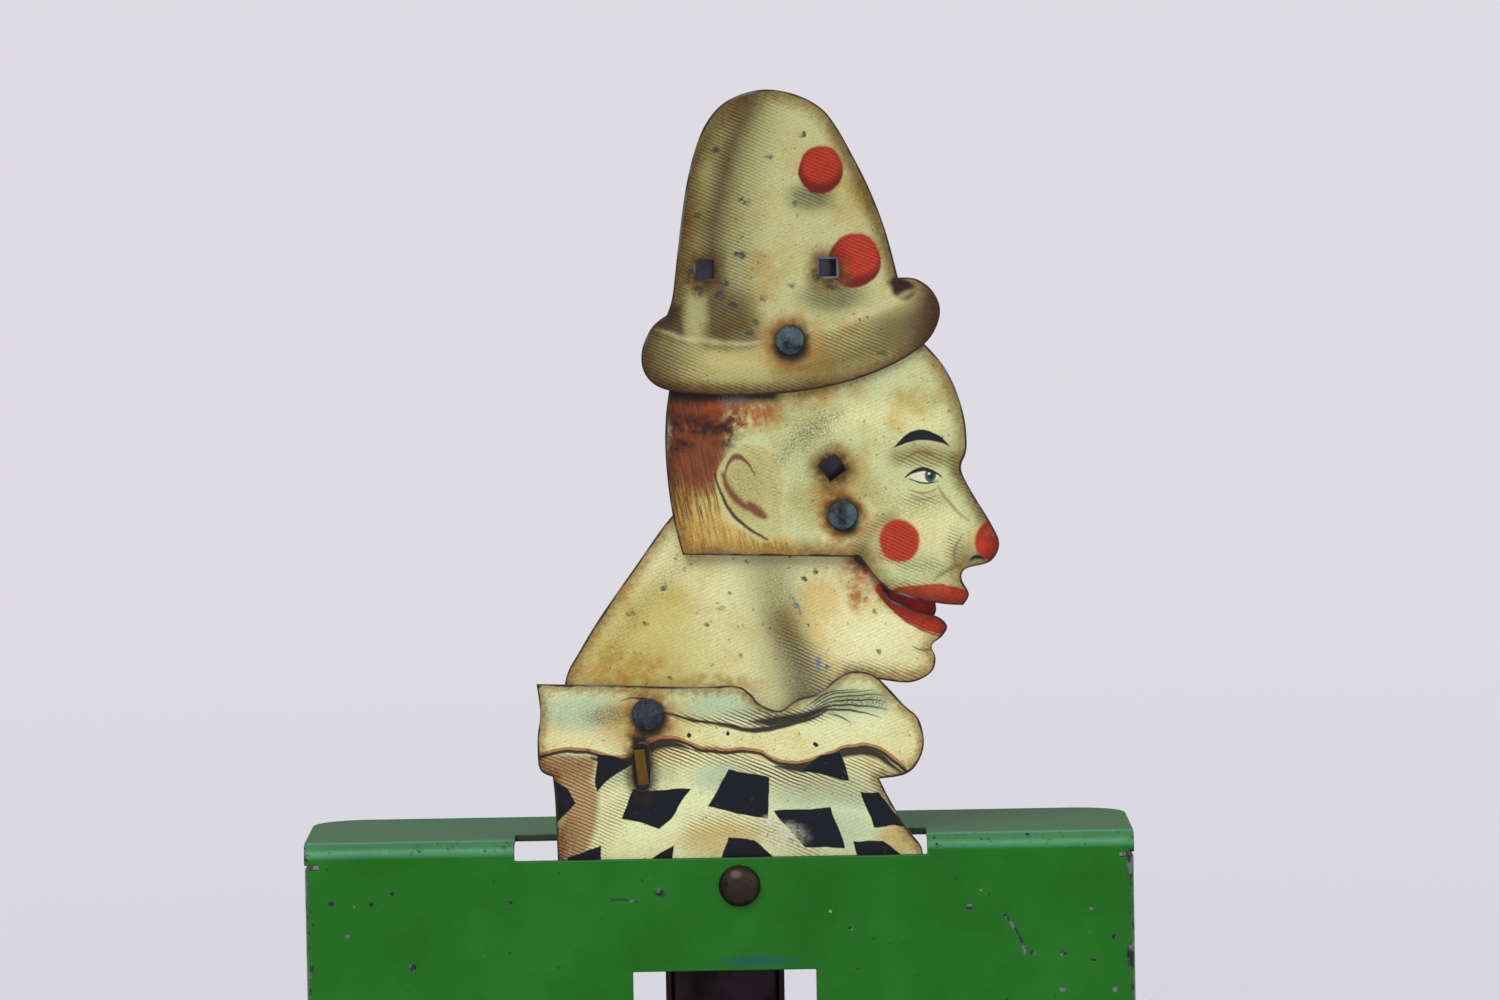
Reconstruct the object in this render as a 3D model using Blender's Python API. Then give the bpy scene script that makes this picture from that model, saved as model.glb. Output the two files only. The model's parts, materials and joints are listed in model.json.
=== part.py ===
"""A wind-up tin clown: flat riveted plates on a pressed housing, driven by a clockwork.

Metres, +Z up. X runs along the housing's front, Y runs away from the viewer.
The origin is on the underside of the base tray, under the middle of the front panel.
"""
import math

import bmesh
import bpy
from mathutils import Matrix, Vector

# Driving sizes: sheets and fits
housing_sheet = 0.0008
litho_sheet = 0.0005
seat_gap = 0.0002
running_gap = 0.0003
cut_overrun = 0.002

# Driving sizes: housing and base
housing_width = 0.0915
housing_depth = 0.026
housing_height = 0.072
bend_radius = 0.0016
corner_relief = 0.0005
top_corner_radius = 0.006
notch_width = 0.0455
notch_drop = 0.0023
notch_depth = 0.0068
notch_shift = 0.0002
window_width = 0.0202
window_height = 0.030
window_shift = 0.0004
window_below_top = 0.0148
tray_side = 0.00425
tray_front = 0.008
tray_rear = 0.010
tray_lip = 0.003
bracket_length = 0.018
bracket_leg = 0.007
rivet_shank_radius = 0.0009
rivet_head_radius = 0.0018
rivet_head_height = 0.0009
rivet_tail_height = 0.0005

# Driving sizes: the figure's pivots, from the housing's middle and its top bend
collar_side = -0.0076
collar_rise = 0.01366
head_side = 0.01426
head_rise = 0.0353
hat_side = 0.00876
hat_rise = 0.05464
front_rivet_side = 0.0022
front_rivet_drop = 0.0054
front_rivet_radius = 0.0023
front_rivet_height = 0.0013
front_rivet_shank = 0.0011
collar_rivet_radius = 0.00175
head_rivet_radius = 0.0016
hat_rivet_radius = 0.00155
figure_rivet_height = 0.0008
figure_shank_radius = 0.0009
washer_thickness = 0.0005
washer_radius = 0.0022

# Driving sizes: the figure's plates
costume_width = 0.0427
costume_height = 0.0278
neck_width = 0.0415
neck_height = 0.0525
head_width = 0.038
head_height = 0.0375
hat_width = 0.0328
hat_height = 0.0333
mouth_width = 0.0145
mouth_height = 0.0165
anchor_side = -0.00077
anchor_drop = 0.0058
anchor_slot_width = 0.00165
anchor_slot_height = 0.0052
anchor_window_width = 0.0042
anchor_window_height = 0.0046
head_lug_side = -0.00101
head_lug_rise = 0.0052
head_lug_width = 0.0014
head_lug_turn = math.radians(35)
head_hole_size = 0.0021
hat_lug_rise = 0.0079
hat_lug_width = 0.0010
hat_lug_height = 0.0016
hat_hole_size = 0.0019
crown_side = -0.0039
crown_width = 0.0109
crown_play = 0.0008
mouth_rivet_side = 0.0022
mouth_rivet_drop = 0.0046
mouth_rivet_radius = 0.0011
mouth_rivet_shank = 0.0006
mouth_rivet_height = 0.0004
neck_ear_radius = 0.0036
crown_above_hat = 0.0125
crown_corner_radius = 0.003

# Driving sizes: link, rocker and crank
link_width = 0.0017
link_thickness = 0.0006
link_eye_play = 0.0009
link_tongue_width = 0.0007
link_tongue_height = 0.0032
link_tongue_proud = 0.0004
rocker_width = 0.0132
rocker_side = 0.0004
rocker_front = 0.0094
rocker_sheet = 0.0006
rocker_flange = 0.0018
rocker_pivot_height = 0.036
rocker_head_reach = 0.0023
rocker_bottom = 0.0106
rocker_foot_width = 0.0080
rocker_foot_height = 0.0245
rocker_bend_radius = 0.0009
rocker_head_clear = 0.0050
drive_pin_side = -0.0034
drive_pin_radius = 0.0010
drive_pin_flange_radius = 0.0017
drive_slot_length = 0.0046
stud_radius = 0.0012
stud_head_radius = 0.0024
stud_head_height = 0.0007
crank_throw = 0.0022
crank_disc_radius = 0.0046
crank_disc_thickness = 0.0010
crank_pin_radius = 0.0009

# Driving sizes: clockwork
motor_front = 0.013
motor_clear = 0.0104
motor_sheet = 0.0008
motor_width = 0.064
motor_top = 0.050
motor_corner_radius = 0.004
motor_foot = 0.0055
motor_foot_width = 0.012
motor_arch = 0.003
pillar_radius = 0.0017
pillar_tenon_radius = 0.0010
pillar_tenon_length = 0.0006
pillar_inset = 0.004
pillar_low = 0.0115
second_height = 0.018
great_turn = math.radians(150)
third_turn = math.radians(30)
coarse_module = 0.0007
fine_module = 0.0006
great_teeth = 40
second_pinion_teeth = 10
second_teeth = 36
third_pinion_teeth = 9
wheel_thickness = 0.0010
pinion_overhang = 0.0002
great_layer = 0.0071
second_layer = 0.0089
ratchet_layer = 0.0056
spring_layer = 0.0003
star_layer = 0.0034
arbor_radius = 0.0011
winding_radius = 0.0018
pivot_clearance = 0.00015
ratchet_teeth = 12
ratchet_radius = 0.0052
ratchet_depth = 0.0009
click_width = 0.0022
click_length = 0.0092
click_play = 0.0003
spring_strip = 0.0004
spring_height = 0.0050
spring_inner_radius = 0.0026
spring_outer_radius = 0.0153
spring_turns = 6.25
post_radius = 0.0012
click_rivet_shank = 0.0005
star_teeth = 10
star_radius = 0.006
star_root_radius = 0.0043
verge_rise = 0.0096
verge_pin_radius = 0.0004
verge_pin_play = 0.0006
verge_arm_width = 0.0022
verge_weight_radius = 0.0025
verge_weight_rise = 0.006
lever_side = 0.018
lever_height = 0.0468
lever_width = 0.005
lever_reach = 0.031
lever_sheet = 0.0008
lever_knob_radius = 0.0030
finger_radius = 0.0008
finger_drop = 0.0062
finger_side = -0.0014
finger_slot_width = 0.0044
finger_throw = 0.0012
key_square = 0.0022
key_stub = 0.0105
key_sleeve_radius = 0.0029
key_sleeve_length = 0.0125
key_wing_width = 0.026
key_wing_height = 0.017
key_wing_thickness = 0.0016
key_wing_hole_radius = 0.0042
key_start = 0.0035

# Smoothness, in counts
round_steps = 18
fine_round_steps = 10
dome_steps = 3
bend_steps = 3
corner_steps = 4
ear_steps = 8
curve_steps = 3
spring_steps_per_turn = 20

# Outline shares of each plate's own width and height, measured from its pivot.
# A run of pairs is one smooth stretch, and runs meet at sharp corners.
hat_shares = [
    [(-0.41, 0.09), (-0.39, 0.15), (-0.37, 0.30), (-0.34, 0.50), (-0.305, 0.635), (-0.26, 0.73),
     (-0.19, 0.795), (-0.08, 0.827), (0.03, 0.81), (0.115, 0.765), (0.165, 0.705), (0.21, 0.625),
     (0.27, 0.505), (0.325, 0.36), (0.366, 0.20)],
    [(0.366, 0.20), (0.425, 0.195), (0.48, 0.155), (0.505, 0.085), (0.47, 0.0), (0.385, -0.065),
     (0.26, -0.12), (0.13, -0.155), (0.0, -0.173), (-0.14, -0.179), (-0.305, -0.173),
     (-0.43, -0.152), (-0.488, -0.10), (-0.495, -0.025), (-0.46, 0.05), (-0.41, 0.09)],
]
head_shares = [
    [(-0.465, -0.11), (-0.49, -0.005), (-0.505, 0.11), (-0.51, 0.23), (-0.50, 0.35),
     (-0.465, 0.50), (-0.41, 0.60)],
]
face_shares = [
    [(-0.08, 0.64), (0.04, 0.63), (0.19, 0.545), (0.30, 0.43), (0.352, 0.30), (0.362, 0.19),
     (0.345, 0.13), (0.375, 0.06), (0.43, -0.035), (0.452, -0.095), (0.425, -0.145),
     (0.355, -0.165), (0.342, -0.195), (0.362, -0.24), (0.345, -0.272)],
    [(0.345, -0.272), (0.29, -0.268), (0.20, -0.25), (0.13, -0.225)],
    [(0.13, -0.225), (0.045, -0.125)],
    [(0.045, -0.125), (-0.465, -0.11)],
]
neck_shares = [
    [(0.025, -0.48), (0.01, -0.30), (-0.03, -0.235), (-0.15, -0.17), (-0.225, -0.08),
     (-0.228, 0.0), (-0.215, 0.078), (-0.18, 0.13), (-0.12, 0.205), (-0.015, 0.32),
     (0.068, 0.408), (0.15, 0.465), (0.28, 0.478), (0.40, 0.47)],
]
jaw_shares = [
    [(0.62, 0.375), (0.632, 0.27), (0.645, 0.235)],
    [(0.645, 0.235), (0.72, 0.205), (0.775, 0.192), (0.80, 0.172), (0.785, 0.15), (0.758, 0.132),
     (0.768, 0.105), (0.755, 0.075), (0.70, 0.055), (0.62, 0.062), (0.545, 0.072)],
    [(0.545, 0.072), (0.505, 0.03), (0.49, -0.03), (0.40, -0.12), (0.29, -0.19), (0.215, -0.235),
     (0.195, -0.30), (0.19, -0.48)],
    [(0.19, -0.48), (0.165, -0.515), (0.108, -0.525), (0.05, -0.515), (0.025, -0.48)],
]
costume_shares = [
    [(-0.285, 0.126), (-0.12, 0.118), (0.085, 0.105), (0.243, 0.10)],
    [(0.243, 0.10), (0.27, 0.068), (0.29, 0.032), (0.34, 0.004), (0.39, 0.05), (0.44, 0.07),
     (0.495, 0.133), (0.535, 0.156), (0.585, 0.139), (0.625, 0.082), (0.662, 0.018),
     (0.70, -0.04), (0.712, -0.138), (0.693, -0.217), (0.659, -0.259), (0.595, -0.273)],
    [(0.595, -0.273), (0.62, -0.353), (0.657, -0.453), (0.702, -0.55)],
    [(0.702, -0.55), (0.70, -0.62), (0.62, -0.70)],
    [(0.62, -0.70), (0.47, -0.845)],
    [(0.47, -0.845), (-0.10, -0.845)],
    [(-0.10, -0.845), (-0.237, -0.70)],
    [(-0.237, -0.70), (-0.24, -0.50), (-0.243, -0.33), (-0.248, -0.243)],
    [(-0.248, -0.243), (-0.281, -0.21), (-0.285, -0.09), (-0.277, 0.01), (-0.285, 0.126)],
]
mouth_shares = [
    [(-0.14, 0.0), (0.0, 0.12), (0.14, 0.05)],
    [(0.14, 0.05), (0.40, -0.20), (0.62, -0.42), (0.70, -0.62), (0.66, -0.72), (0.45, -0.84),
     (0.15, -0.90), (0.02, -0.86)],
    [(0.02, -0.86), (-0.08, -0.50), (-0.14, 0.0)],
]
key_wing_shares = [
    [(0.10, -0.42), (0.34, -0.50), (0.50, -0.22), (0.50, 0.22), (0.34, 0.50), (0.12, 0.36),
     (0.0, 0.26), (-0.12, 0.36), (-0.34, 0.50), (-0.50, 0.22), (-0.50, -0.22), (-0.34, -0.50),
     (-0.10, -0.42)],
    [(-0.10, -0.42), (0.10, -0.42)],
]

# Tooth shares: widths as shares of the pitch angle, heights as shares of the module
tooth_tip_share = 0.22
tooth_root_share = 0.60
addendum_share = 0.80
dedendum_share = 1.10
star_tip_share = 0.08
star_foot_share = 0.55
# The light part of a gear's web, as shares of its pitch radius
spoke_hole_shares = (0.56, 0.17)
spoke_holes = 5
dome_edge_share = 0.35
pivot_share = 0.75
side_rivet_share = 0.62
tail_slot_share = 0.4411
fine_wheel_share = 0.9
key_hole_share = 0.27
key_hole_rise_share = 0.02
key_wing_seat_share = 0.40

# Places that follow from the sizes above
tray_top = housing_sheet
countersink = housing_sheet / 4
housing_foot = tray_top + seat_gap
collar_z = housing_height + collar_rise
head_z = housing_height + head_rise
drive_pin_z = collar_z - neck_height * tail_slot_share
rocker_top = drive_pin_z + rocker_head_reach
hat_z = housing_height + hat_rise
front_rivet_z = housing_height - front_rivet_drop
costume_front = housing_sheet + seat_gap
costume_back = costume_front + litho_sheet
neck_front = costume_back + washer_thickness + 2 * seat_gap
neck_back = neck_front + litho_sheet
mouth_front = neck_back + seat_gap
mouth_back = mouth_front + litho_sheet
link_front = mouth_back + seat_gap + rivet_tail_height + seat_gap
link_back = link_front + link_thickness
hat_front = costume_front - seat_gap - litho_sheet
rocker_back = rocker_front + rocker_sheet
motor_inner = motor_front + motor_sheet
motor_back = motor_inner + motor_clear
motor_rear = motor_back + motor_sheet
great_distance = coarse_module * (great_teeth + second_pinion_teeth) / 2
third_distance = fine_module * (second_teeth + third_pinion_teeth) / 2
second_x = rocker_side
second_z = second_height
great_x = second_x + great_distance * math.cos(great_turn)
great_z = second_z + great_distance * math.sin(great_turn)
third_x = second_x + third_distance * math.cos(third_turn)
third_z = second_z + third_distance * math.sin(third_turn)
verge_z = third_z + verge_rise
lever_front = housing_depth + seat_gap
side_rivet_z = housing_sheet + 2 * seat_gap + bracket_leg * side_rivet_share
post_z = great_z + spring_outer_radius + spring_strip / 2 + running_gap + post_radius
head_lug_back = link_back + seat_gap
anchor_x = collar_side + anchor_side
anchor_z = collar_z - anchor_drop


# Scene and material helpers

def clear_scene():
    """Remove whatever the file holds, so that only the toy is left."""
    for thing in list(bpy.data.objects):
        bpy.data.objects.remove(thing, do_unlink=True)


def finish(name, colour, roughness, metallic):
    """Make one surface finish."""
    material = bpy.data.materials.new(name)
    material.use_nodes = True
    shader = material.node_tree.nodes["Principled BSDF"]
    shader.inputs["Base Color"].default_value = (*colour, 1)
    shader.inputs["Roughness"].default_value = roughness
    shader.inputs["Metallic"].default_value = metallic
    return material


def pivot(name, x, z, parent=None):
    """Place an empty on a joint's axis, which runs along Y."""
    empty = bpy.data.objects.new(name, None)
    bpy.context.collection.objects.link(empty)
    empty.location = (x, 0, z)
    if parent is not None:
        empty.parent = parent
        empty.location = Vector((x, 0, z)) - world_place(parent)
    return empty


def world_place(item):
    """Return where an object's origin is, through its parents."""
    place = Vector(item.location)
    while item.parent is not None:
        item = item.parent
        place += Vector(item.location)
    return place


def add_object(name, mesh, parent=None, material=None):
    """Turn a bmesh into an object that rides on its parent."""
    bmesh.ops.recalc_face_normals(mesh, faces=mesh.faces[:])
    data = bpy.data.meshes.new(name)
    mesh.to_mesh(data)
    mesh.free()
    item = bpy.data.objects.new(name, data)
    bpy.context.collection.objects.link(item)
    item.parent = parent
    if material is not None:
        data.materials.append(material)
    return item


def shade_round(item):
    """Shade a turned piece smooth, with its edges kept sharp."""
    item.data.shade_smooth()
    item.data.set_sharp_from_angle(angle=math.radians(40))


def combine(item, tool, operation):
    """Join a second solid to an item or cut it away, and drop the second one."""
    change = item.modifiers.new(operation.lower(), "BOOLEAN")
    change.operation = operation
    change.object = tool
    bpy.context.view_layer.update()
    held = item.evaluated_get(bpy.context.evaluated_depsgraph_get())
    item.data = bpy.data.meshes.new_from_object(held)
    item.modifiers.remove(change)
    bpy.data.objects.remove(tool, do_unlink=True)


# Outline helpers, in the X-Z plane

def smooth_run(points, steps):
    """Thread a smooth curve through a run of points, which keeps its two ends."""
    if len(points) < 3:
        return [tuple(point) for point in points]
    curve = []
    for index in range(len(points) - 1):
        before = Vector(points[max(index - 1, 0)])
        start = Vector(points[index])
        end = Vector(points[index + 1])
        after = Vector(points[min(index + 2, len(points) - 1)])
        for step in range(steps):
            part = step / steps
            blend = (2 * start + (end - before) * part
                     + (2 * before - 5 * start + 4 * end - after) * part ** 2
                     + (3 * start - before - 3 * end + after) * part ** 3) / 2
            curve.append(tuple(blend))
    curve.append(tuple(points[-1]))
    return curve


def share_outline(runs, width, height):
    """Scale runs of shares to real size and join them into one closed outline."""
    outline = []
    for run in runs:
        curve = smooth_run(run, curve_steps)
        outline += [(x * width, z * height) for x, z in curve[:-1]]
    return outline


def circle(radius, steps=fine_round_steps, x=0, z=0):
    """Return a round outline."""
    turns = [math.tau * step / steps for step in range(steps)]
    return [(x + radius * math.cos(turn), z + radius * math.sin(turn)) for turn in turns]


def box_outline(width, height, x=0, z=0, turn=0):
    """Return a rectangle about its centre, turned by an angle."""
    corners = [(-width / 2, -height / 2), (width / 2, -height / 2),
               (width / 2, height / 2), (-width / 2, height / 2)]
    return [(x + px * math.cos(turn) - pz * math.sin(turn),
             z + px * math.sin(turn) + pz * math.cos(turn)) for px, pz in corners]


def slot_outline(width, length, x=0, z=0, turn=0):
    """Return an upright slot with round ends, turned by an angle."""
    radius = width / 2
    reach = length / 2 - radius
    outline = []
    for end, first in ((reach, 0), (-reach, math.pi)):
        for step in range(fine_round_steps // 2 + 1):
            angle = first + math.pi * step / (fine_round_steps // 2)
            outline.append((radius * math.cos(angle), end + radius * math.sin(angle)))
    return [(x + px * math.cos(turn) - pz * math.sin(turn),
             z + px * math.sin(turn) + pz * math.cos(turn)) for px, pz in outline]


def gear_outline(teeth, module, first_tooth):
    """Return a spur wheel's outline with a tooth centred on the angle given."""
    pitch_radius = module * teeth / 2
    tip = pitch_radius + module * addendum_share
    root = pitch_radius - module * dedendum_share
    pitch = math.tau / teeth
    outline = []
    for tooth in range(teeth):
        middle = first_tooth + tooth * pitch
        for radius, share in ((root, -tooth_root_share), (tip, -tooth_tip_share),
                              (tip, tooth_tip_share), (root, tooth_root_share)):
            angle = middle + share * pitch / 2
            outline.append((radius * math.cos(angle), radius * math.sin(angle)))
    return outline


def ratchet_outline():
    """Return a saw-toothed wheel whose steep flanks face the click."""
    pitch = math.tau / ratchet_teeth
    outline = []
    for tooth in range(ratchet_teeth):
        angle = math.pi / 2 + tooth * pitch
        outline.append((ratchet_radius * math.cos(angle), ratchet_radius * math.sin(angle)))
        low = ratchet_radius - ratchet_depth
        outline.append((low * math.cos(angle), low * math.sin(angle)))
    return outline


def star_outline():
    """Return the pointed escape wheel, with a gap a quarter pitch off the top."""
    pitch = math.tau / star_teeth
    outline = []
    for tooth in range(star_teeth):
        middle = math.pi / 2 + (tooth + 0.5) * pitch
        for radius, share in ((star_root_radius, -star_foot_share), (star_radius, -star_tip_share),
                              (star_radius, star_tip_share), (star_root_radius, star_foot_share)):
            angle = middle + share * pitch / 2
            outline.append((radius * math.cos(angle), radius * math.sin(angle)))
    return outline


# Solid helpers

def fill_loops(mesh, loops):
    """Fill an outline, less the holes in it, in the plane Y = 0."""
    edges = []
    for loop in loops:
        corners = [mesh.verts.new((x, 0, z)) for x, z in loop]
        for first, second in zip(corners, corners[1:] + corners[:1]):
            edges.append(mesh.edges.new((first, second)))
    bmesh.ops.triangle_fill(mesh, use_beauty=True, use_dissolve=False, edges=edges,
                            normal=(0, -1, 0))
    for face in mesh.faces:
        if face.normal.y > 0:
            face.normal_flip()


def thicken(mesh, front, back):
    """Give a flat filled outline its thickness along Y."""
    lifted = bmesh.ops.extrude_face_region(mesh, geom=mesh.faces[:], use_keep_orig=True)
    moving = [part for part in lifted["geom"] if isinstance(part, bmesh.types.BMVert)]
    staying = [vert for vert in mesh.verts if vert not in set(moving)]
    bmesh.ops.translate(mesh, verts=moving, vec=(0, back, 0))
    bmesh.ops.translate(mesh, verts=staying, vec=(0, front, 0))


def plate(name, loops, front, back, parent, material, x=0, z=0):
    """Cut a flat plate from its outline and holes, between two depths."""
    mesh = bmesh.new()
    fill_loops(mesh, loops)
    thicken(mesh, front, back)
    item = add_object(name, mesh, parent, material)
    item.location = (x, 0, z)
    return item


def turned(name, profile, parent, material, x=0, z=0, steps=fine_round_steps):
    """Turn a profile of radius and depth pairs about an axis along Y."""
    mesh = bmesh.new()
    corners = [mesh.verts.new((radius, depth, 0)) for radius, depth in profile]
    edges = [mesh.edges.new(pair) for pair in zip(corners, corners[1:])]
    if profile[0][0] > 0:
        edges.append(mesh.edges.new((corners[-1], corners[0])))
    bmesh.ops.spin(mesh, geom=corners + edges, cent=(0, 0, 0), axis=(0, 1, 0),
                   angle=math.tau, steps=steps, use_merge=True)
    bmesh.ops.remove_doubles(mesh, verts=mesh.verts[:], dist=seat_gap / 20)
    item = add_object(name, mesh, parent, material)
    item.location = (x, 0, z)
    shade_round(item)
    return item


def fold_edge(mesh, line, outwards, radius, towards, only=None):
    """Fold the stretch of a blank past a line, by a quarter turn about that line.

    The line is a distance from the origin along the direction outwards, a unit
    vector in the X-Z plane. A stretch folds along Y, away from the viewer when
    towards is 1 and to the viewer when it is -1.
    """
    arc = radius * math.pi / 2
    for step in range(bend_steps + 1):
        reach = line + arc * step / bend_steps
        bmesh.ops.bisect_plane(mesh, geom=mesh.verts[:] + mesh.edges[:] + mesh.faces[:],
                               dist=seat_gap / 20, plane_co=outwards * reach, plane_no=outwards)
    for vert in mesh.verts:
        past = vert.co.dot(outwards) - line
        if past <= 0 or (only is not None and not only(vert.co)):
            continue
        vert.co -= outwards * past
        turn = min(past / radius, math.pi / 2)
        beyond = max(past - arc, 0)
        vert.co += outwards * radius * math.sin(turn)
        vert.co.y += towards * (radius * (1 - math.cos(turn)) + beyond)


def folded_sheet(name, mesh, front, thickness, parent, material):
    """Make a folded blank into a sheet, from its outer side inwards."""
    bmesh.ops.translate(mesh, verts=mesh.verts[:], vec=(0, front, 0))
    data = bpy.data.meshes.new(name)
    mesh.to_mesh(data)
    mesh.free()
    item = bpy.data.objects.new(name, data)
    bpy.context.collection.objects.link(item)
    item.parent = parent
    data.materials.append(material)
    wall = item.modifiers.new("wall", "SOLIDIFY")
    wall.thickness = thickness
    wall.offset = -1
    wall.use_even_offset = True


def rivet_profile(radius, height, shank, front, back, tail_radius, tail_height):
    """Return a domed rivet from its head, past its seat, to its peened tail."""
    head = front - seat_gap
    profile = [(0, head - height)]
    for step in range(1, dome_steps + 1):
        angle = math.pi / 2 * step / dome_steps
        depth = head - height * (dome_edge_share + (1 - dome_edge_share) * math.cos(angle))
        profile.append((radius * math.sin(angle), depth))
    tail = back + seat_gap
    profile += [(radius, head), (shank, head), (shank, tail), (tail_radius, tail),
                (tail_radius, tail + tail_height * dome_edge_share),
                (shank, tail + tail_height), (0, tail + tail_height)]
    return profile


def shaft_profile(steps):
    """Return a stepped shaft from pairs of radius and end depth, after its first depth."""
    depth = steps[0]
    profile = [(0, depth)]
    for radius, end in steps[1:]:
        profile += [(radius, depth), (radius, end)]
        depth = end
    profile.append((0, depth))
    return profile


# The finishes

enamel = finish("green_enamel", (0.03, 0.20, 0.02), 0.35, 0.0)
litho = finish("cream_litho", (0.68, 0.62, 0.36), 0.45, 0.0)
red_litho = finish("red_litho", (0.50, 0.04, 0.02), 0.45, 0.0)
dark_steel = finish("dark_steel", (0.10, 0.11, 0.13), 0.45, 0.9)
bronze = finish("bronze", (0.20, 0.15, 0.09), 0.40, 0.9)
tinplate = finish("tinplate", (0.50, 0.50, 0.50), 0.40, 1.0)
brass = finish("brass", (0.62, 0.46, 0.18), 0.35, 1.0)
blued_steel = finish("blued_steel", (0.06, 0.05, 0.05), 0.35, 1.0)
bright_steel = finish("bright_steel", (0.55, 0.55, 0.57), 0.30, 1.0)


# Housing and base

def floor_rivet_depths():
    """Return where a bracket's floor rivets stand along Y, in from its two ends."""
    inset = bracket_length / 4
    middle = housing_depth / 2
    return (middle - bracket_length / 2 + inset, middle + bracket_length / 2 - inset)


def make_front_housing():
    """Fold the front panel, its top and its two sides from one blank."""
    half = housing_width / 2
    quarter_arc = bend_radius * math.pi / 2
    side_reach = half - bend_radius + quarter_arc + housing_depth - bend_radius
    top_line = housing_height - bend_radius
    top_reach = top_line + quarter_arc + housing_depth - bend_radius
    side_top = top_line - housing_sheet - corner_relief
    right = [(half - bend_radius, housing_foot), (side_reach, housing_foot), (side_reach, side_top),
             (half - bend_radius, side_top), (half - bend_radius, side_top + corner_relief),
             (half, side_top + corner_relief), (half, top_reach - top_corner_radius)]
    for step in range(1, corner_steps * 2 + 1):
        angle = math.pi / 2 * step / (corner_steps * 2)
        right.append((half - top_corner_radius * (1 - math.cos(angle)),
                      top_reach - top_corner_radius * (1 - math.sin(angle))))
    outline = right + [(-x, z) for x, z in reversed(right)]
    notch_low = housing_height - notch_drop
    notch_high = top_line + quarter_arc + notch_depth - bend_radius
    notch = box_outline(notch_width, notch_high - notch_low, notch_shift,
                        (notch_low + notch_high) / 2)
    window = box_outline(window_width, window_height, window_shift,
                         housing_height - window_below_top - window_height / 2)
    rivet_hole = circle(front_rivet_shank + seat_gap, fine_round_steps, front_rivet_side,
                        front_rivet_z)
    holes = [notch, window, rivet_hole]
    for side in (-1, 1):
        reach = half - bend_radius + quarter_arc + housing_depth / 2 - bend_radius
        holes.append(circle(rivet_shank_radius + seat_gap, fine_round_steps, side * reach,
                            side_rivet_z))
    mesh = bmesh.new()
    fill_loops(mesh, [outline] + holes)
    fold_edge(mesh, top_line, Vector((0, 0, 1)), bend_radius, 1)
    below = side_top + corner_relief / 2
    for side in (-1, 1):
        fold_edge(mesh, half - bend_radius, Vector((side, 0, 0)), bend_radius, 1,
                  only=lambda place: place.z < below)
    folded_sheet("front_housing", mesh, 0, housing_sheet, None, enamel)


def lay_flat(mesh):
    """Lay a blank from the front plane on the ground plane, with its face down."""
    for vert in mesh.verts:
        vert.co = Vector((vert.co.x, vert.co.z, vert.co.y))
    bmesh.ops.reverse_faces(mesh, faces=mesh.faces[:])


def make_base_tray():
    """Fold the tray's lips up round a flat floor."""
    half = housing_width / 2 + tray_side
    arc = bend_radius * math.pi / 2
    front = -tray_front
    rear = housing_depth + tray_rear
    lip = arc + tray_lip - bend_radius
    inner = half - bend_radius
    low = front + bend_radius
    high = rear - bend_radius
    relief = corner_relief
    outline = [(inner - relief, low - lip), (inner - relief, low + relief), (inner + lip, low + relief),
               (inner + lip, high - relief), (inner - relief, high - relief),
               (inner - relief, high + lip)]
    outline += [(-x, z) for x, z in reversed(outline)]
    holes = []
    for x, y in base_rivet_places():
        holes.append(circle(rivet_shank_radius + seat_gap, fine_round_steps, x, y))
    mesh = bmesh.new()
    fill_loops(mesh, [outline] + holes)
    for side in (-1, 1):
        fold_edge(mesh, inner, Vector((side, 0, 0)), bend_radius, 1,
                  only=lambda place: low < place.z < high)
    fold_edge(mesh, high, Vector((0, 0, 1)), bend_radius, 1)
    fold_edge(mesh, -low, Vector((0, 0, -1)), bend_radius, 1)
    lay_flat(mesh)
    folded_sheet("base_tray", mesh, 0, housing_sheet, None, tinplate)


def bracket_rivet_places():
    """Return the X and Y of the rivets through the brackets' floor legs."""
    reach = housing_width / 2 - housing_sheet - seat_gap - bracket_leg / 2
    return [(side * reach, y) for side in (-1, 1) for y in floor_rivet_depths()]


def motor_foot_places():
    """Return the X and Y of the rivets through the motor's four feet."""
    reach = motor_width / 2 - motor_foot_width / 2
    depths = (motor_front + motor_foot / 2 + bend_radius / 2,
              motor_back + motor_foot / 2 + bend_radius / 2)
    return [(side * reach, depth) for side in (-1, 1) for depth in depths]


def base_rivet_places():
    """Return the X and Y of every rivet through the tray's floor."""
    return bracket_rivet_places() + motor_foot_places()


def rod(radius, start, end):
    """Return a plain round cutter along Y."""
    return plate("cutter", [circle(radius)], start, end, None, tinplate)


def stood(item, place):
    """Turn an item made along Y to stand along Z, with its front side down."""
    item.data.transform(Matrix.Rotation(math.radians(90), 4, "X"))
    item.location = place
    return item


def laid(item, place, side):
    """Turn an item made along Y to lie along X, with its front side outermost."""
    item.data.transform(Matrix.Rotation(math.radians(90) * side, 4, "Z"))
    item.location = place
    return item


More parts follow.
